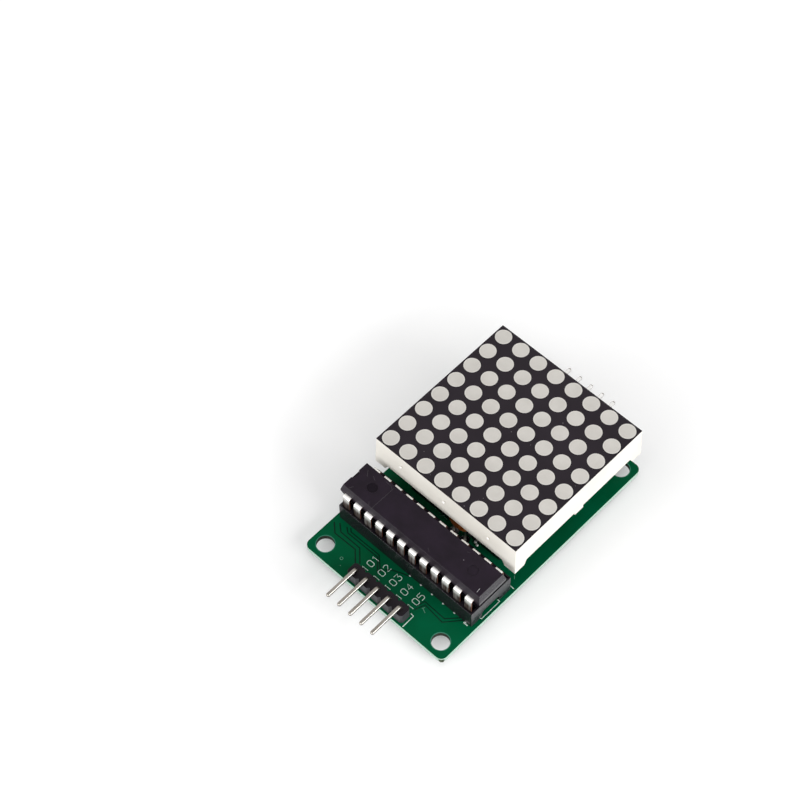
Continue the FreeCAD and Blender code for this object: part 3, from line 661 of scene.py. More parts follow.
# %% Model the chip
BAND, BAND_DEPTH = 0.4 * MM, 1.3 * MM
DRAW_IN = math.tan(math.radians(15))
NOTCH_REACH, NOTCH_DEPTH = 1.0 * MM, 0.9 * MM
MARK_REACH, MARK_DEPTH = 0.95 * MM, 0.12 * MM
MARK_X = 11.45 * MM
CHIP_BEVEL = 0.10 * MM
size, middle = chip_high - chip_low, middle_of("driver_chip")
band_low = chip_low.z + BAND_DEPTH
chip = begun(bpy.ops.mesh.primitive_cube_add, "driver_chip_mould", size=1,
             location=(middle.x, middle.y, band_low + BAND / 2))
chip.scale = (size.x, size.y, BAND)
settle(chip)
for up, rise in ((1, chip_high.z - band_low - BAND), (-1, BAND_DEPTH)):
    pick_faces(chip, lambda centre, normal: normal.z * up > 0.9)

    def half():
        bpy.ops.mesh.extrude_region_move(TRANSFORM_OT_translate={"value": (0, 0, rise * up)})
        shrink = 2 * rise * DRAW_IN
        bpy.ops.transform.resize(value=(1 - shrink / size.x, 1 - shrink / size.y, 1),
                                 center_override=(middle.x, middle.y, 0))

    in_edit_mode(chip, half)
cutters = []
for x, radius, depth in ((chip_low.x, NOTCH_REACH, NOTCH_DEPTH),
                         (middle.x - MARK_X, MARK_REACH, MARK_DEPTH),
                         (middle.x + MARK_X, MARK_REACH, MARK_DEPTH)):
    cutters.append(begun(bpy.ops.mesh.primitive_cylinder_add, "cutter", vertices=40,
                         radius=radius, depth=2 * depth, location=(x, middle.y, chip_high.z)))
without(chip, joined(cutters, "cutter"))
bevelled(chip, CHIP_BEVEL, 3, 12)
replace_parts(chip, "driver_chip")
finish_piece(flat_between_edges(chip, 30), chip_mould)


# %% Finish the chip's marks, ends and sides: painted shade in the marks, painted light on the ends
mark_shade = new_finish(
    "mark_shade", (0.005, 0.003, 0.006), (0.008, 0.005, 0.009), (0.3, 0.4), mirror=0.08)
band_highlight_plastic = new_finish(
    "band_highlight_plastic", (0.06, 0.058, 0.064), (0.10, 0.097, 0.105), (0.25, 0.4), mirror=0.8)
side_mould = new_finish(
    "side_mould", (0.011, 0.007, 0.012), (0.016, 0.010, 0.018), (0.30, 0.44), **MOULD_GRAIN,
    mirror=0.34)
MARK_ZONE = 1.0 * MM
MARK_DROP = (0.01 * MM, 0.2 * MM)
SIDE_LOW, BAND_X = chip_low.z + 1.2 * MM, chip_high.x - 0.05 * MM


def in_mark(centre):
    drop = chip_high.z - centre.z
    return abs(abs(centre.x) - MARK_X) < MARK_ZONE and MARK_DROP[0] < drop < MARK_DROP[1]


def on_side(centre, normal):
    return abs(normal.z) < 0.6 and centre.z > SIDE_LOW and not in_mark(centre)


def on_band(centre, normal):
    return abs(normal.x) > 0.99 and abs(centre.x) > BAND_X


# The sides keep the mould's colour with more gloss; the ends get painted light and the band at the
# ends a painted highlight.
second_finish(chip, side_mould, on_side)
second_finish(chip, lit_end_plastic,
              lambda centre, normal: on_side(centre, normal) and abs(normal.x) > 0.6)
second_finish(chip, band_highlight_plastic, on_band)
# Painted shade: the marks' walls, and the left mark's floor, are painted darker.
second_finish(chip, mark_shade, lambda centre, normal: in_mark(centre)
              and (centre.x < 0 or abs(normal.z) < 0.9))
print("chip finishes", [material.name for material in chip.data.materials])

# %% [markdown]
# ## The chip's leads
# A lead is cut from thin sheet and bent down where it leaves the mould. It is wide at its
# shoulder and narrows to a tip that goes into the socket. A strip of sheet is drawn by
# extruding its end edge round the bend, its lower end is narrowed, and a Solidify modifier
# gives it the sheet's thickness. Its cut sides show the copper under the tin.


# %% Model one lead
LEAD_SHEET, LEAD_WIDTH = 0.25 * MM, 1.5 * MM
LEAD_IN_MOULD, LEAD_BEVEL = 0.05 * MM, 0.04 * MM
SHOULDER_IN_SOCKET = 0.4 * MM
TAPER, TIP_SHARE = 0.35 * MM, 0.34
BEND_STEPS = 6


def make_lead(side, bend):
    low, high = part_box("chip_leads_rear" if side > 0 else "chip_leads_front")
    root, outside = (chip_high.y, high.y) if side > 0 else (chip_low.y, low.y)
    root -= LEAD_IN_MOULD * side
    run = abs(outside - root) - bend
    lead = begun(bpy.ops.mesh.primitive_plane_add, "lead", size=1)
    lead.scale = (LEAD_WIDTH, run, 1)
    lead.location = (0, root + side * run / 2, high.z)
    settle(lead)
    for point in lead.data.vertices:
        point.select = (point.co.y - root) * side > run / 2
    for edge in lead.data.edges:
        edge.select = all(lead.data.vertices[i].select for i in edge.vertices)
    for face in lead.data.polygons:
        face.select = False

    def bend_down():
        hub = Vector((0, outside - side * bend, high.z - bend))
        angles = [math.radians(90) * i / BEND_STEPS for i in range(BEND_STEPS + 1)]
        path = [hub + Vector((0, side * bend * math.sin(a), bend * math.cos(a))) for a in angles]
        shoulder_end = socket_high.z - SHOULDER_IN_SOCKET
        path.append(Vector((0, outside, shoulder_end)))
        for before, after in zip(path, path[1:]):
            bpy.ops.mesh.extrude_edges_move(TRANSFORM_OT_translate={"value": after - before})
        for drop, share in ((TAPER, TIP_SHARE), (shoulder_end - TAPER - low.z, 1.0)):
            move = Vector((0, 0, -drop))
            bpy.ops.mesh.extrude_edges_move(TRANSFORM_OT_translate={"value": move})
            bpy.ops.transform.resize(value=(share, 1, 1), center_override=(0, 0, 0))

    in_edit_mode(lead, bend_down, "EDGE")
    modified(lead, "SOLIDIFY", thickness=LEAD_SHEET, offset=-1)

    def outward():
        bpy.ops.mesh.select_all(action="SELECT")
        bpy.ops.mesh.normals_make_consistent(inside=False)

    in_edit_mode(lead, outward)
    bevelled(lead, LEAD_BEVEL, 2, 50)
    return flat_between_edges(lead, 40)


# %% Repeat the leads on both sides
CHIP_WAYS = 12
# The rear row is in lit tin, painted light.
for name, side, bend, metal in (("front", -1, 0.5 * MM, lead_metal),
                                ("rear", 1, 0.3 * MM, lit_tin)):
    places = [(x, 0, 0) for x in centred_row(CHIP_WAYS, PIN_PITCH)]
    leads = repeated(make_lead(side, bend), places, f"chip_lead_row_{name}")
    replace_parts(leads, f"chip_leads_{name}")
    finish_piece(leads, metal)
    second_finish(leads, cut_copper, lambda centre, normal: abs(normal.x) > 0.9)

# %% [markdown]
# ## Contacts, pins and plates that only just show
# The contacts inside the socket and the strips, the display's pins and the plates in its back
# keep their solids and only get their finish.

# %% Finish the inner pieces
INNER = [
    ("display_pins_front", tinned), ("display_pins_rear", tinned),
    ("strip_contacts_front", tinned), ("strip_contacts_rear", tinned),
    ("socket_contacts_front", tinned), ("socket_contacts_rear", tinned),
    ("lamp_base", base_board), ("display_backfill", cloudy_resin),
    ("electrolytic_bung", rubber),
    ("electrolytic_wires", tinned), ("ceramic_wires", tinned),
]
for node, material in INNER:
    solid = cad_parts[node]
    solid.data.materials.clear()
    solid.data.materials.append(material)
print("inner pieces", len(INNER))

# %% [markdown]
# ## Solder
# Under the board each lead is trimmed and stands in a small cone of solder, wide on its pad
# and drawn in to a neck. A cone's outline is spun round the lead: a few points go from the
# pad along the hollow flank and over the blunt tip.


# %% Spin an outline, and the outline of one joint
def spun(name, outline, steps=24):
    """Spins points, given as distance from the axis and height, round the upright axis."""
    piece = begun(bpy.ops.mesh.primitive_plane_add, name, size=1)

    def spin():
        bpy.ops.mesh.select_all(action="SELECT")
        bpy.ops.mesh.merge(type="CENTER")
        reach, height = outline[0]
        bpy.ops.transform.translate(value=(reach, 0, height))
        for before, after in zip(outline, outline[1:]):
            step = (after[0] - before[0], 0, after[1] - before[1])
            bpy.ops.mesh.extrude_vertices_move(TRANSFORM_OT_translate={"value": step})
        bpy.ops.mesh.select_all(action="SELECT")
        bpy.ops.mesh.spin(steps=steps, angle=math.tau, center=(0, 0, 0), axis=(0, 0, 1))
        bpy.ops.mesh.select_all(action="SELECT")
        bpy.ops.mesh.remove_doubles(threshold=0.001 * MM)
        bpy.ops.mesh.normals_make_consistent(inside=False)

    in_edit_mode(piece, spin, "VERT")
    return piece


def scaled(outline, across, up):
    return [(reach * across, height * up) for reach, height in outline]


def both_ends(half, middle=()):
    """An outline whose upper half mirrors its lower half."""
    return [*half, *middle, *((reach, -height) for reach, height in reversed(half))]


JOINT_HIGH = 1.4
FLANK = [(0.85, 0.0), (0.83, -0.06), (0.60, -0.22), (0.42, -0.48), (0.33, -0.85),
         (0.29, -1.18), (0.22, -1.34), (0.0, -JOINT_HIGH)]
joint_outline = scaled([(0.0, 0.0)] + FLANK, MM, BOARD_BOTTOM / JOINT_HIGH)
print("joint points", len(joint_outline))


# %% Find the holes
def hole_row(count, middle, pitch=PIN_PITCH, aside=0.0):
    """The places of a row of holes, at the board's underside."""
    return [(middle.x + step, middle.y + aside, BOARD_BOTTOM)
            for step in centred_row(count, pitch)]


CHIP_ROW = 7.62 * MM / 2
RESISTOR_SPAN, CAN_SPAN = 10.16 * MM, 2.0 * MM
socket, resistor = middle_of("chip_socket"), middle_of("resistor_body")
ceramic, can = middle_of("ceramic_capacitor"), middle_of("electrolytic_can")
JOINTS = {
    "socket_joints": hole_row(12, socket, aside=-CHIP_ROW) + hole_row(12, socket, aside=CHIP_ROW),
    "strip_joints": hole_row(8, middle_of("strip_front")) + hole_row(8, middle_of("strip_rear")),
    "header_joints": hole_row(5, middle_of("input_header"))
    + hole_row(5, middle_of("output_header")),
    "wire_joints": hole_row(2, resistor, RESISTOR_SPAN) + hole_row(2, ceramic)
    + hole_row(2, can, CAN_SPAN),
}
print("holes", {node: len(places) for node, places in JOINTS.items()})

# %% Repeat the joints
for node, places in JOINTS.items():
    joints = repeated(smooth(spun("joint", joint_outline), 60), places, f"{node}_smooth")
    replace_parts(joints, node)
    finish_piece(joints, solder)

# %% [markdown]
# ## Pads
# Round every hole the copper is left bare and tinned, as a thin ring on both faces of the
# board. Beside the chip socket the pads are long, and on its front right they peep out from
# under it. A pad is a flat ring, and a long pad's outer points are drawn apart.


# %% Model a pad and lay the pads out
PAD_THICK = 0.035 * MM
SOCKET_PAD, SOCKET_PAD_LONG = 1.62 * MM, 2 * (SOCKET_Y - CHIP_ROW - socket_low.y + 0.14 * MM)


def make_pad(wide, hole, long_=None):
    pad = flat_ring(wide, hole, PAD_THICK)
    if long_:
        for point in pad.data.vertices:
            point.select = math.hypot(point.co.x, point.co.y) > wide / 2 * 0.9
        in_edit_mode(pad, lambda: bpy.ops.transform.resize(
            value=(1, long_ / wide, 1), center_override=(0, 0, 0)), "VERT")
    return pad


PAD_TOP, PAD_UNDER = BOARD_TOP + PAD_THICK / 2, BOARD_BOTTOM - PAD_THICK / 2
all_holes = [place for places in JOINTS.values() for place in places]
under_socket = JOINTS["socket_joints"]
top_rings = [place for place in all_holes if place not in under_socket]
peeping = [place for place in under_socket if place[0] > 0 and place[1] < SOCKET_Y]
hidden = [place for place in under_socket if place not in peeping]
for name, pad, places, metal in (
        ("pads_top", (1.75 * MM, 0.62 * MM), at_height(top_rings, PAD_TOP), solder),
        ("pads_under", (2.0 * MM, 0.62 * MM), at_height(all_holes, PAD_UNDER), solder),
        ("pads_socket", (0.9 * MM, 0.5 * MM, SOCKET_PAD), at_height(hidden, PAD_TOP), pad_tin),
        ("pads_socket_long", (0.9 * MM, 0.5 * MM, SOCKET_PAD_LONG),
         at_height(peeping, PAD_TOP), pad_tin)):
    finish_piece(repeated(make_pad(*pad), places, name), metal)

# %% [markdown]
# ## Lines on the board
# Copper lines run under the lacquer, with a narrow gap on each side where the copper is
# etched away and the lacquer looks darker. The printed marks are thin strokes of pale ink.
# Both are strokes of even width, so one helper draws a stroke through its points as a curve,
# makes it a mesh and flattens it onto the board.


# %% Helpers that draw strokes
INK_THICK = 0.02 * MM


def new_curve(width, roundness):
    data = bpy.data.curves.new("stroke", "CURVE")
    data.dimensions = "3D"
    data.bevel_depth = width / 2
    data.bevel_resolution = roundness
    data.use_fill_caps = True
    return data


def as_mesh(data):
    line = bpy.data.objects.new("stroke", data)
    bpy.context.collection.objects.link(line)
    only(line)
    bpy.ops.object.convert(target="MESH")
    return bpy.context.object


def stroke(points, width, height, thick=INK_THICK):
    """A flat stroke through points given in millimetres, at a height."""
    data = new_curve(width, 1)
    spline = data.splines.new("POLY")
    spline.points.add(len(points) - 1)
    for point, (x, y) in zip(spline.points, points):
        point.co = (x * MM, y * MM, 0, 1)
    line = as_mesh(data)
    line.scale.z = thick / width
    line.location.z = height
    return settle(line)


def strokes(lines, width, height, thick=INK_THICK):
    return [stroke(line, width, height, thick) for line in lines]


# %% Etched gaps beside the copper lines
GAP_WIDTH = 0.22 * MM
LINES_TOP = [
    [(-15.3, -18.65), (-13.71, -20.11), (-9.0, -20.0), (-6.92, -22.05)],
    [(-14.46, -18.14), (-13.11, -19.27), (-8.6, -19.3), (-6.44, -21.47)],
    [(-13.04, -17.88), (-12.1, -18.6), (-5.16, -18.5), (-3.25, -20.55)],
    [(-12.4, -17.6), (-11.85, -18.08), (-5.3, -18.02), (-2.94, -20.15)],
    [(-2.57, -19.4), (-1.65, -18.54), (0.25, -17.79), (1.36, -17.43)],
    [(6.22, -21.37), (6.88, -19.57), (11.15, -19.94), (14.05, -16.63)],
    [(5.91, -20.78), (6.44, -19.11), (10.99, -19.22), (13.34, -16.71)],
]
LINES_UNDER = [
    [(-5.08, -23.0), (-9.5, -18.6), (-9.5, -2.0), (-13.5, 2.0), (-13.5, 20.0), (-9.0, 23.5),
     (-5.5, 23.5)],
    [(-2.54, -23.0), (-2.54, -19.0), (-12.5, -9.0), (-12.5, -1.0)],
    [(0.0, -23.0), (0.0, -18.6), (2.2, -16.5), (2.2, -10.0)],
    [(2.54, -23.0), (2.54, -19.5), (5.0, -17.0), (5.0, -10.0), (7.0, -8.0)],
    [(5.08, -23.0), (5.08, -20.0), (15.2, -13.0), (15.2, 18.0), (10.0, 23.5), (5.5, 23.5)],
    [(-8.9, -7.5), (-8.9, -3.6), (-6.4, -1.0), (-6.4, 18.0)],
    [(-3.8, -7.5), (-3.8, 2.0), (-1.3, 4.5), (-1.3, 18.0)],
    [(3.8, -7.5), (3.8, 0.0), (6.4, 2.6), (6.4, 18.0)],
    [(11.4, -7.5), (11.4, 3.0), (8.9, 5.5), (8.9, 18.0)],
]
gaps = joined(strokes(LINES_TOP, GAP_WIDTH, BOARD_TOP)
              + strokes(LINES_UNDER, 2 * GAP_WIDTH, BOARD_BOTTOM), "etched_gaps")
finish_piece(gaps, gap_lacquer)

# %% [markdown]
# ## Plated hole without a wire
# Near the left mounting hole a bare plated hole carries a line through the board. It is a
# tiny tinned ring with a dark middle, and a round test dot lies beside it.

# %% Lay the plated hole and the dot
VIA_X, VIA_Y = -9.45, -22.81
DOT_LINE = [(-8.68, -23.91), (-8.58, -23.91)]
VIA_WIDTH, VIA_HOLE, VIA_THICK = 0.60 * MM, 0.44 * MM, 0.03 * MM
via_ring = flat_ring(VIA_WIDTH, VIA_HOLE, VIA_THICK, 24)
via_ring.location = (VIA_X * MM, VIA_Y * MM, BOARD_TOP)
dot = stroke(DOT_LINE, 0.2 * MM, BOARD_TOP)
for name, piece in (("plated_hole", via_ring), ("test_dot", dot)):
    finish_piece(joined([piece], name), worn_print)

# %% [markdown]
# ## The torn corner
# Boards are made many to a panel and broken apart, so one corner keeps a scrap of torn
# laminate. A small cube is cut finer and its points are pushed about at random, with a fixed
# seed, so that the scrap is rough but the same each time.

# %% Model the torn scrap
SCRAP_SIZE = (1.1 * MM, 0.4 * MM, 0.5 * MM)
SCRAP_IN, SCRAP_DOWN = 0.35 * MM, 0.62 * MM
scrap = begun(bpy.ops.mesh.primitive_cube_add, "torn_corner", size=1)
pick_faces(scrap, lambda centre, normal: normal.y < -0.9)


def roughen():
    bpy.ops.transform.resize(value=(0.5, 1, 1), center_override=(0, 0, 0))
    bpy.ops.mesh.select_all(action="SELECT")
    bpy.ops.mesh.subdivide(number_cuts=3)
    bpy.ops.transform.vertex_random(offset=0.06, seed=7)


in_edit_mode(scrap, roughen)
scrap.scale = SCRAP_SIZE
scrap.rotation_euler = (0, 0, math.radians(45))
scrap.location = (board_high.x - SCRAP_IN, board_low.y + SCRAP_IN, BOARD_TOP - SCRAP_DOWN)
finish_piece(settle(scrap), torn_laminate)

# %% [markdown]
# ## Printed marks
# The print shows the outline of the socket and the headers, and a plain number beside each
# pin of the input header. The numbers are drawn with single strokes, as a board's print is,
# and stand along the board with their tops towards its left side.

# %% Strokes of the digits on a grid two units wide and three high
DIGITS = {
    "0": [(0, 0.5), (0.5, 0), (1.5, 0), (2, 0.5), (2, 2.5), (1.5, 3), (0.5, 3), (0, 2.5), (0, 0.5)],
    "1": [(0.3, 2.4), (1, 3), (1, 0)],
    "2": [(0, 2.5), (0.5, 3), (1.5, 3), (2, 2.5), (2, 2), (0, 0), (2, 0)],
    "3": [(0, 3), (2, 3), (1, 1.8), (1.5, 1.8), (2, 1.4), (2, 0.5), (1.5, 0), (0.5, 0), (0, 0.5)],
    "4": [(1.5, 0), (1.5, 3), (0, 1), (2, 1)],
    "5": [(2, 3), (0, 3), (0, 1.8), (1.5, 1.8), (2, 1.3), (2, 0.5), (1.5, 0), (0, 0)],
}
INK_WIDTH = 0.14 * MM
OUTLINE_WIDTH = 0.18 * MM
DIGIT_UNIT = 0.42
DIGIT_STEP = 3.0


def printed(text, foot_x, start_y):
    """Digits that run along +Y from the start, with their feet at the given x."""
    paths = []
    for index, digit in enumerate(text):
        paths.append([(foot_x - v * DIGIT_UNIT, start_y + (index * DIGIT_STEP + u) * DIGIT_UNIT)
                      for u, v in DIGITS[digit]])
    return strokes(paths, INK_WIDTH, BOARD_TOP)


# %% Print the marks
MARKS = [
    [(6.95, -25.06), (6.9, -22.37), (6.24, -22.34)],
    [(14.95, -15.03), (15.45, -15.03), (15.45, -10.56), (14.95, -10.56)],
    [(15.6, -7.19), (14.7, -7.19)],
    [(13.7, -17.55), (14.67, -17.55)],
]
WORN_MARKS = [
    [(6.93, -20.41), (7.18, -19.92)], [(7.08, -20.27), (7.93, -20.65)],
    [(-4.6, -4.9), (-4.0, -4.5)], [(-3.0, -5.5), (-2.3, -4.7)], [(-2.3, -5.06), (-1.59, -5.13)],
    [(0.62, -5.12), (1.21, -5.3)], [(14.0, -5.3), (14.45, -5.77)],
]
LEGEND_FEET = (-4.55, -1.95, 0.7, 3.3, 5.95)
LEGEND_START = -21.85
ink = strokes(MARKS, OUTLINE_WIDTH, BOARD_TOP)
for count, foot_x in enumerate(LEGEND_FEET, 1):
    ink += printed(f"10{count}", foot_x, LEGEND_START)
worn = strokes(WORN_MARKS, INK_WIDTH, BOARD_TOP)
for name, made, finish in (("printed_marks", ink, print_ink), ("worn_marks", worn, worn_print)):
    finish_piece(joined(made, name), finish)

# %% [markdown]
# ## Small marks of making and handling
# Three little nubs on the front of the housing are left where the moulding was cut from its
# runners, and two beads of solder lie beside the capacitor. The chip's top has a fine cross
# line and a few scratches. A nub or a bead is a low dome that is spun, a nub is then laid on
# its side, and a scratch is a very thin stroke on the chip.

# %% Nubs on the housing and beads on the board
DOME = [(0, 0), (1, 0), (0.92, 0.45), (0.7, 0.8), (0.35, 0.97), (0, 1)]
NUB_REACH, NUB_HIGH, BEAD_REACH = 0.26 * MM, 0.22 * MM, 0.3 * MM
NUB_PLACES = [(-9.9, 2.5), (-0.07, 2.5), (9.9, 2.5)]
BEAD_PLACES = [(4.9, -5.1), (5.5, -5.3)]
QUARTER = math.radians(90)
# Painted highlight: the nubs are painted whiter and glossier than the housing they are moulded
# from.
nub_highlight_plastic = new_finish("nub_highlight_plastic", (0.93, 0.91, 0.87), (0.97, 0.95, 0.92), (0.15, 0.25))
housing_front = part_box("display_housing")[0].y
nub = spun("nub", scaled(DOME, NUB_REACH, NUB_HIGH), 16)
nub.rotation_euler = (QUARTER, 0, 0)
nubs = repeated(settle(nub), [(x * MM, housing_front, face_high.z - drop * MM)
                              for x, drop in NUB_PLACES], "housing_nubs")
finish_piece(smooth(nubs, 50), nub_highlight_plastic)
bead = spun("bead", scaled(DOME, BEAD_REACH, BEAD_REACH), 16)
beads = repeated(bead, [(x * MM, y * MM, BOARD_TOP) for x, y in BEAD_PLACES], "solder_beads")
finish_piece(smooth(beads, 50), lit_tin)

# %% Scratches on the chip
scratch_grey = new_finish(
    "scratch_grey", (0.05, 0.045, 0.05), (0.09, 0.085, 0.09), (0.4, 0.6), mirror=0.2)
deep_scratch = new_finish("deep_scratch", (0.62, 0.61, 0.62), (0.80, 0.79, 0.80), (0.4, 0.6))
SCRATCH_THICK = 0.012 * MM
SCRATCH_Z = chip_high.z - SCRATCH_THICK / 3
SCRATCHES = [
    [(-8.75, -10.6), (-8.78, -16.05)],
    [(-12.9, -11.2), (-12.1, -11.6)],
    [(3.2, -14.9), (3.9, -15.3)],
    [(8.4, -11.0), (8.9, -10.8)],
    [(-10.6, -10.5), (-9.3, -10.55), (-8.8, -10.9)],
    [(-14.4, -10.9), (-13.6, -12.0)],
    [(-13.9, -14.9), (-14.3, -15.6)],
    [(-10.0, -15.2), (-9.6, -15.7)],
]
DEEP_SCRATCHES = [[(14.53, -14.58), (14.61, -15.42)]]
for name, lines, width, finish in (
        ("chip_scratches", SCRATCHES, 0.06 * MM, scratch_grey),
        ("chip_deep_scratch", DEEP_SCRATCHES, 0.08 * MM, deep_scratch)):
    made = strokes(lines, width, SCRATCH_Z, SCRATCH_THICK)
    finish_piece(joined(made, name), finish)

# %% [markdown]
# ## The small wired parts
# Under the display stand a resistor, a ceramic capacitor and an electrolytic capacitor. Each
# is a turned form, so its outline is spun: a resistor swells at its ends, a dipped capacitor
# is a soft lens, and the can has a rolled edge.

# %% Resistor with colour bands
BAND_SHARE = 0.08
GROUND = (0.56, 0.40, 0.21, 1)
BANDS = [(0.10, (0.16, 0.05, 0.02)), (0.32, (0.01, 0.01, 0.01)), (0.48, (0.75, 0.22, 0.02)),
         (0.80, (0.55, 0.36, 0.08))]
low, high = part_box("resistor_body")
banded = new_finish("resistor_lacquer", (0.52, 0.36, 0.18), (0.58, 0.42, 0.23), (0.25, 0.35))
tree, _, _, axes = opened(banded)
ramp = add_node(tree, "ValToRGB", {"Fac": ranged(tree, axes["X"], (low.x, high.x))})
ramp.color_ramp.interpolation = "CONSTANT"
stops = ramp.color_ramp.elements
stops[0].color = stops[1].color = GROUND
for start, band in BANDS:
    stops.new(start).color = (*band, 1)
    stops.new(start + BAND_SHARE).color = GROUND
painted(banded, ramp.outputs["Color"])
outline = both_ends([(0, -1), (0.55, -0.985), (0.86, -0.93), (1, -0.84), (0.985, -0.66),
                     (0.86, -0.52), (0.82, -0.4)])
body = spun("resistor_shape", scaled(outline, (high.z - low.z) / 2, (high.x - low.x) / 2), 32)
body.rotation_euler = (0, QUARTER, 0)
body.location = resistor
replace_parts(settle(body), "resistor_body")
finish_piece(smooth(body, 60), banded)

# %% Ceramic capacitor
ceramic_lacquer = new_finish(
    "ceramic_lacquer", (0.42, 0.10, 0.02), (0.55, 0.16, 0.03), (0.22, 0.35), grain=(1500, 300),
    bump=(0.3, 0.03))
low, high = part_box("ceramic_capacitor")
outline = both_ends([(0, -1), (0.45, -0.97), (0.72, -0.84), (0.9, -0.55), (0.985, -0.25)],
                    [(1, 0)])
disc = spun("ceramic_shape", scaled(outline, (high.x - low.x) / 2, (high.y - low.y) / 2), 40)
disc.rotation_euler = (QUARTER, 0, 0)
disc.location = ceramic
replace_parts(settle(disc), "ceramic_capacitor")
finish_piece(smooth(disc, 60), ceramic_lacquer)

# %% Electrolytic can and its sleeve
low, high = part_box("electrolytic_can")
outline = [(0, 0), (2.05, 0), (2.25, 0.1), (2.3, 0.3), (2.3, 1.5), (2.12, 1.62), (2.12, 1.78),
           (2.3, 1.9), (2.3, 6.35), (2.2, 6.55), (2.0, 6.6), (1.9, 6.55), (0, 6.55)]
shell = spun("can_shape", scaled(outline, MM, (high.z - low.z) / 6.6), 40)
shell.location = (can.x, can.y, low.z)
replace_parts(settle(shell), "electrolytic_can")
finish_piece(smooth(shell, 40), can_metal)
low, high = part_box("electrolytic_sleeve")
outline = [(2.31, 0.02), (2.42, 0), (2.48, 0.12), (2.48, 1.45), (2.34, 1.62), (2.34, 1.78),
           (2.48, 1.95), (2.48, 6.2), (2.3, 6.35), (1.75, 6.62), (1.75, 6.605), (2.31, 6.3),
           (2.31, 0.02)]
film = spun("sleeve_shape", scaled(outline, MM, (high.z - low.z) / 6.35), 40)
film.location = (can.x, can.y, low.z)
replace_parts(settle(film), "electrolytic_sleeve")
finish_piece(smooth(film, 50), sleeve_film)


# %% Round wires of the resistor
WIRE_WIDTH, WIRE_BEND = 0.5 * MM, 0.8 * MM
WIRE_IN = 0.1 * MM
ROUND = 0.55


def make_wire(side, root, hole):
    """A wire that leaves the body, bends down in a round curve and ends in its hole."""
    data = new_curve(WIRE_WIDTH, 3)
    spline = data.splines.new("BEZIER")
    path = [(root - WIRE_IN * side, resistor.z), (hole - WIRE_BEND * side, resistor.z),
            (hole, resistor.z - WIRE_BEND), (hole, BOARD_BOTTOM + WIRE_IN)]
    spline.bezier_points.add(len(path) - 1)
    ways = [None, Vector((side, 0, 0)), Vector((0, 0, -1)), None]
    for point, (x, z), way in zip(spline.bezier_points, path, ways):
        point.co = (x, resistor.y, z)
        point.handle_left_type = point.handle_right_type = "FREE" if way else "VECTOR"
        if way:
            point.handle_left = point.co - way * WIRE_BEND * ROUND
            point.handle_right = point.co + way * WIRE_BEND * ROUND
    return as_mesh(data)


body_low, body_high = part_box("resistor_body")
wires = joined([make_wire(-1, body_low.x, resistor.x - RESISTOR_SPAN / 2),
                make_wire(1, body_high.x, resistor.x + RESISTOR_SPAN / 2)],
               "resistor_wires_round")
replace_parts(smooth(wires, 60), "resistor_wires")
finish_piece(wires, tinned)

# %% [markdown]
# ## Floor, light and background
# The module is photographed on a white table in a light tent. The floor is a plain pale
# plane that catches a soft shadow, and the world is white to the camera and to mirrors, so
# that the metal shows a white room. The floor's own glow, for the camera alone, grows with
# the distance from the board, so the soft shadow stays near it and the paper ends up white.
# A large lamp stands on the right, a broad one in front and a weak one above.

# %% Floor
SHADOW_ZONE = (3 * MM, 28 * MM)
PAPER_GLOW = (0.23, 0.42)
floor = begun(bpy.ops.mesh.primitive_plane_add, "floor", size=4)
paper = bpy.data.materials.new("floor_paper")
paper.use_nodes = True
tree, shader = paper.node_tree, shader_of(paper)
past = add_node(tree, "TexCoord").outputs["Object"]
for operation, other in (("ABSOLUTE", (0, 0, 0)), ("SUBTRACT", board_high), ("MAXIMUM", (0, 0, 0))):
    step = add_node(tree, "VectorMath", {0: past, 1: other}, operation=operation)
    past = step.outputs["Vector"]
reach = add_node(tree, "VectorMath", {0: past}, operation="LENGTH").outputs["Value"]
seen = add_node(tree, "LightPath").outputs["Is Camera Ray"]
glow = number(tree, "MULTIPLY", seen, ranged(tree, reach, SHADOW_ZONE, PAPER_GLOW))
for key, value in (("Base Color", (0.78, 0.78, 0.78)), ("Roughness", 0.9),
                   ("Specular IOR Level", 0.0), ("Emission Color", (1, 1, 1)),
                   ("Emission Strength", glow)):
    feed(tree, shader[key], value)
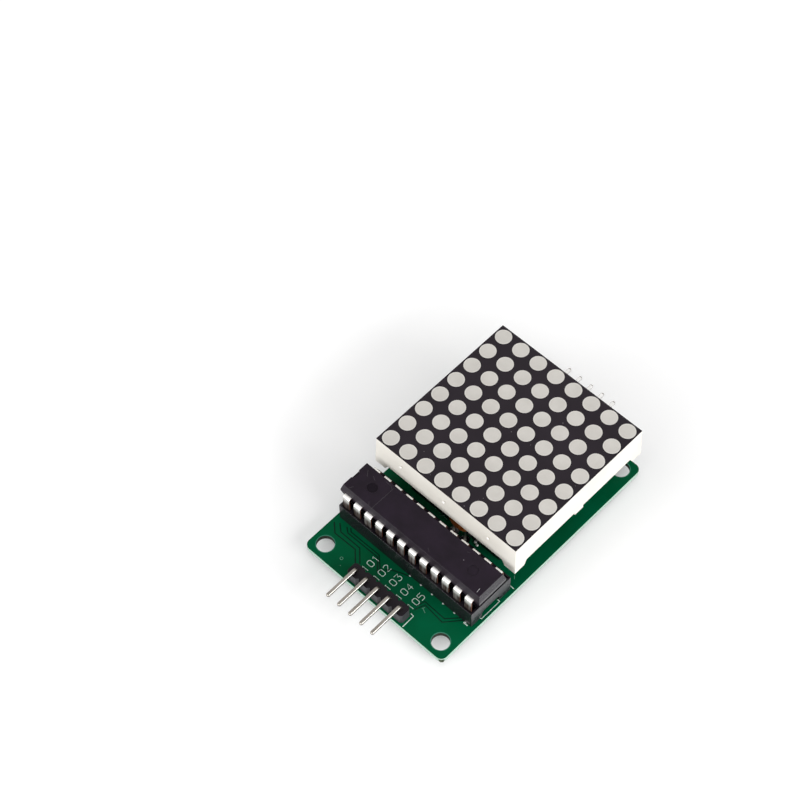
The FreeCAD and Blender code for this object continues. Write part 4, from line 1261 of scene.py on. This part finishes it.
floor.data.materials.append(paper)
print("floor", floor.name)

# %% Background
TENT_LIGHT = (0.42, 1.0)
world = bpy.data.worlds.new("tent")
bpy.context.scene.world = world
world.use_nodes = True
tree = world.node_tree
rays = add_node(tree, "LightPath").outputs
seen = number(tree, "MAXIMUM", rays["Is Camera Ray"], rays["Is Glossy Ray"])
clear = number(tree, "MAXIMUM", seen, rays["Is Transmission Ray"])
background = tree.nodes["Background"].inputs
feed(tree, background["Color"], (1, 1, 1))
feed(tree, background["Strength"], ranged(tree, clear, end=TENT_LIGHT))
print("background", world.name)


# %% Lamps
def make_lamp(name, place, size, power):
    data = bpy.data.lights.new(name, "AREA")
    data.shape = "RECTANGLE"
    data.size, data.size_y = size
    data.energy = power
    lamp = bpy.data.objects.new(name, data)
    bpy.context.collection.objects.link(lamp)
    lamp.location = place
    aim = Vector((0, 0, 0.01)) - Vector(place)
    lamp.rotation_euler = aim.to_track_quat("-Z", "Y").to_euler()


make_lamp("right_softbox", (0.42, 0.02, 0.20), (0.36, 0.26), 1.9)
make_lamp("top_softbox", (0.10, -0.10, 0.60), (0.30, 0.30), 0.3)
make_lamp("front_softbox", (-0.12, -0.46, 0.17), (0.46, 0.26), 1.7)

# %% [markdown]
# ## Camera
# The camera looks down on the module from the front right. Its place and its three
# directions were worked out from the lamps of the display, whose pitch is known.

# %% Camera
LENS = 97.58
CAMERA_PLACE = (0.1231, -0.1385, 0.3247)
camera_data = bpy.data.cameras.new("camera")
camera_data.lens = LENS
camera_data.sensor_width = 36
camera = bpy.data.objects.new("camera", camera_data)
bpy.context.collection.objects.link(camera)
right = Vector((0.7219, 0.6917, -0.0180)).normalized()
back = Vector((0.3846, -0.3795, 0.8414)).normalized()
up = back.cross(right).normalized()
right = up.cross(back)
turn = Matrix((right, up, back)).transposed().to_4x4()
camera.matrix_world = Matrix.Translation(CAMERA_PLACE) @ turn
bpy.context.scene.camera = camera
bpy.context.scene.view_settings.view_transform = "Standard"
print("camera", camera.location)
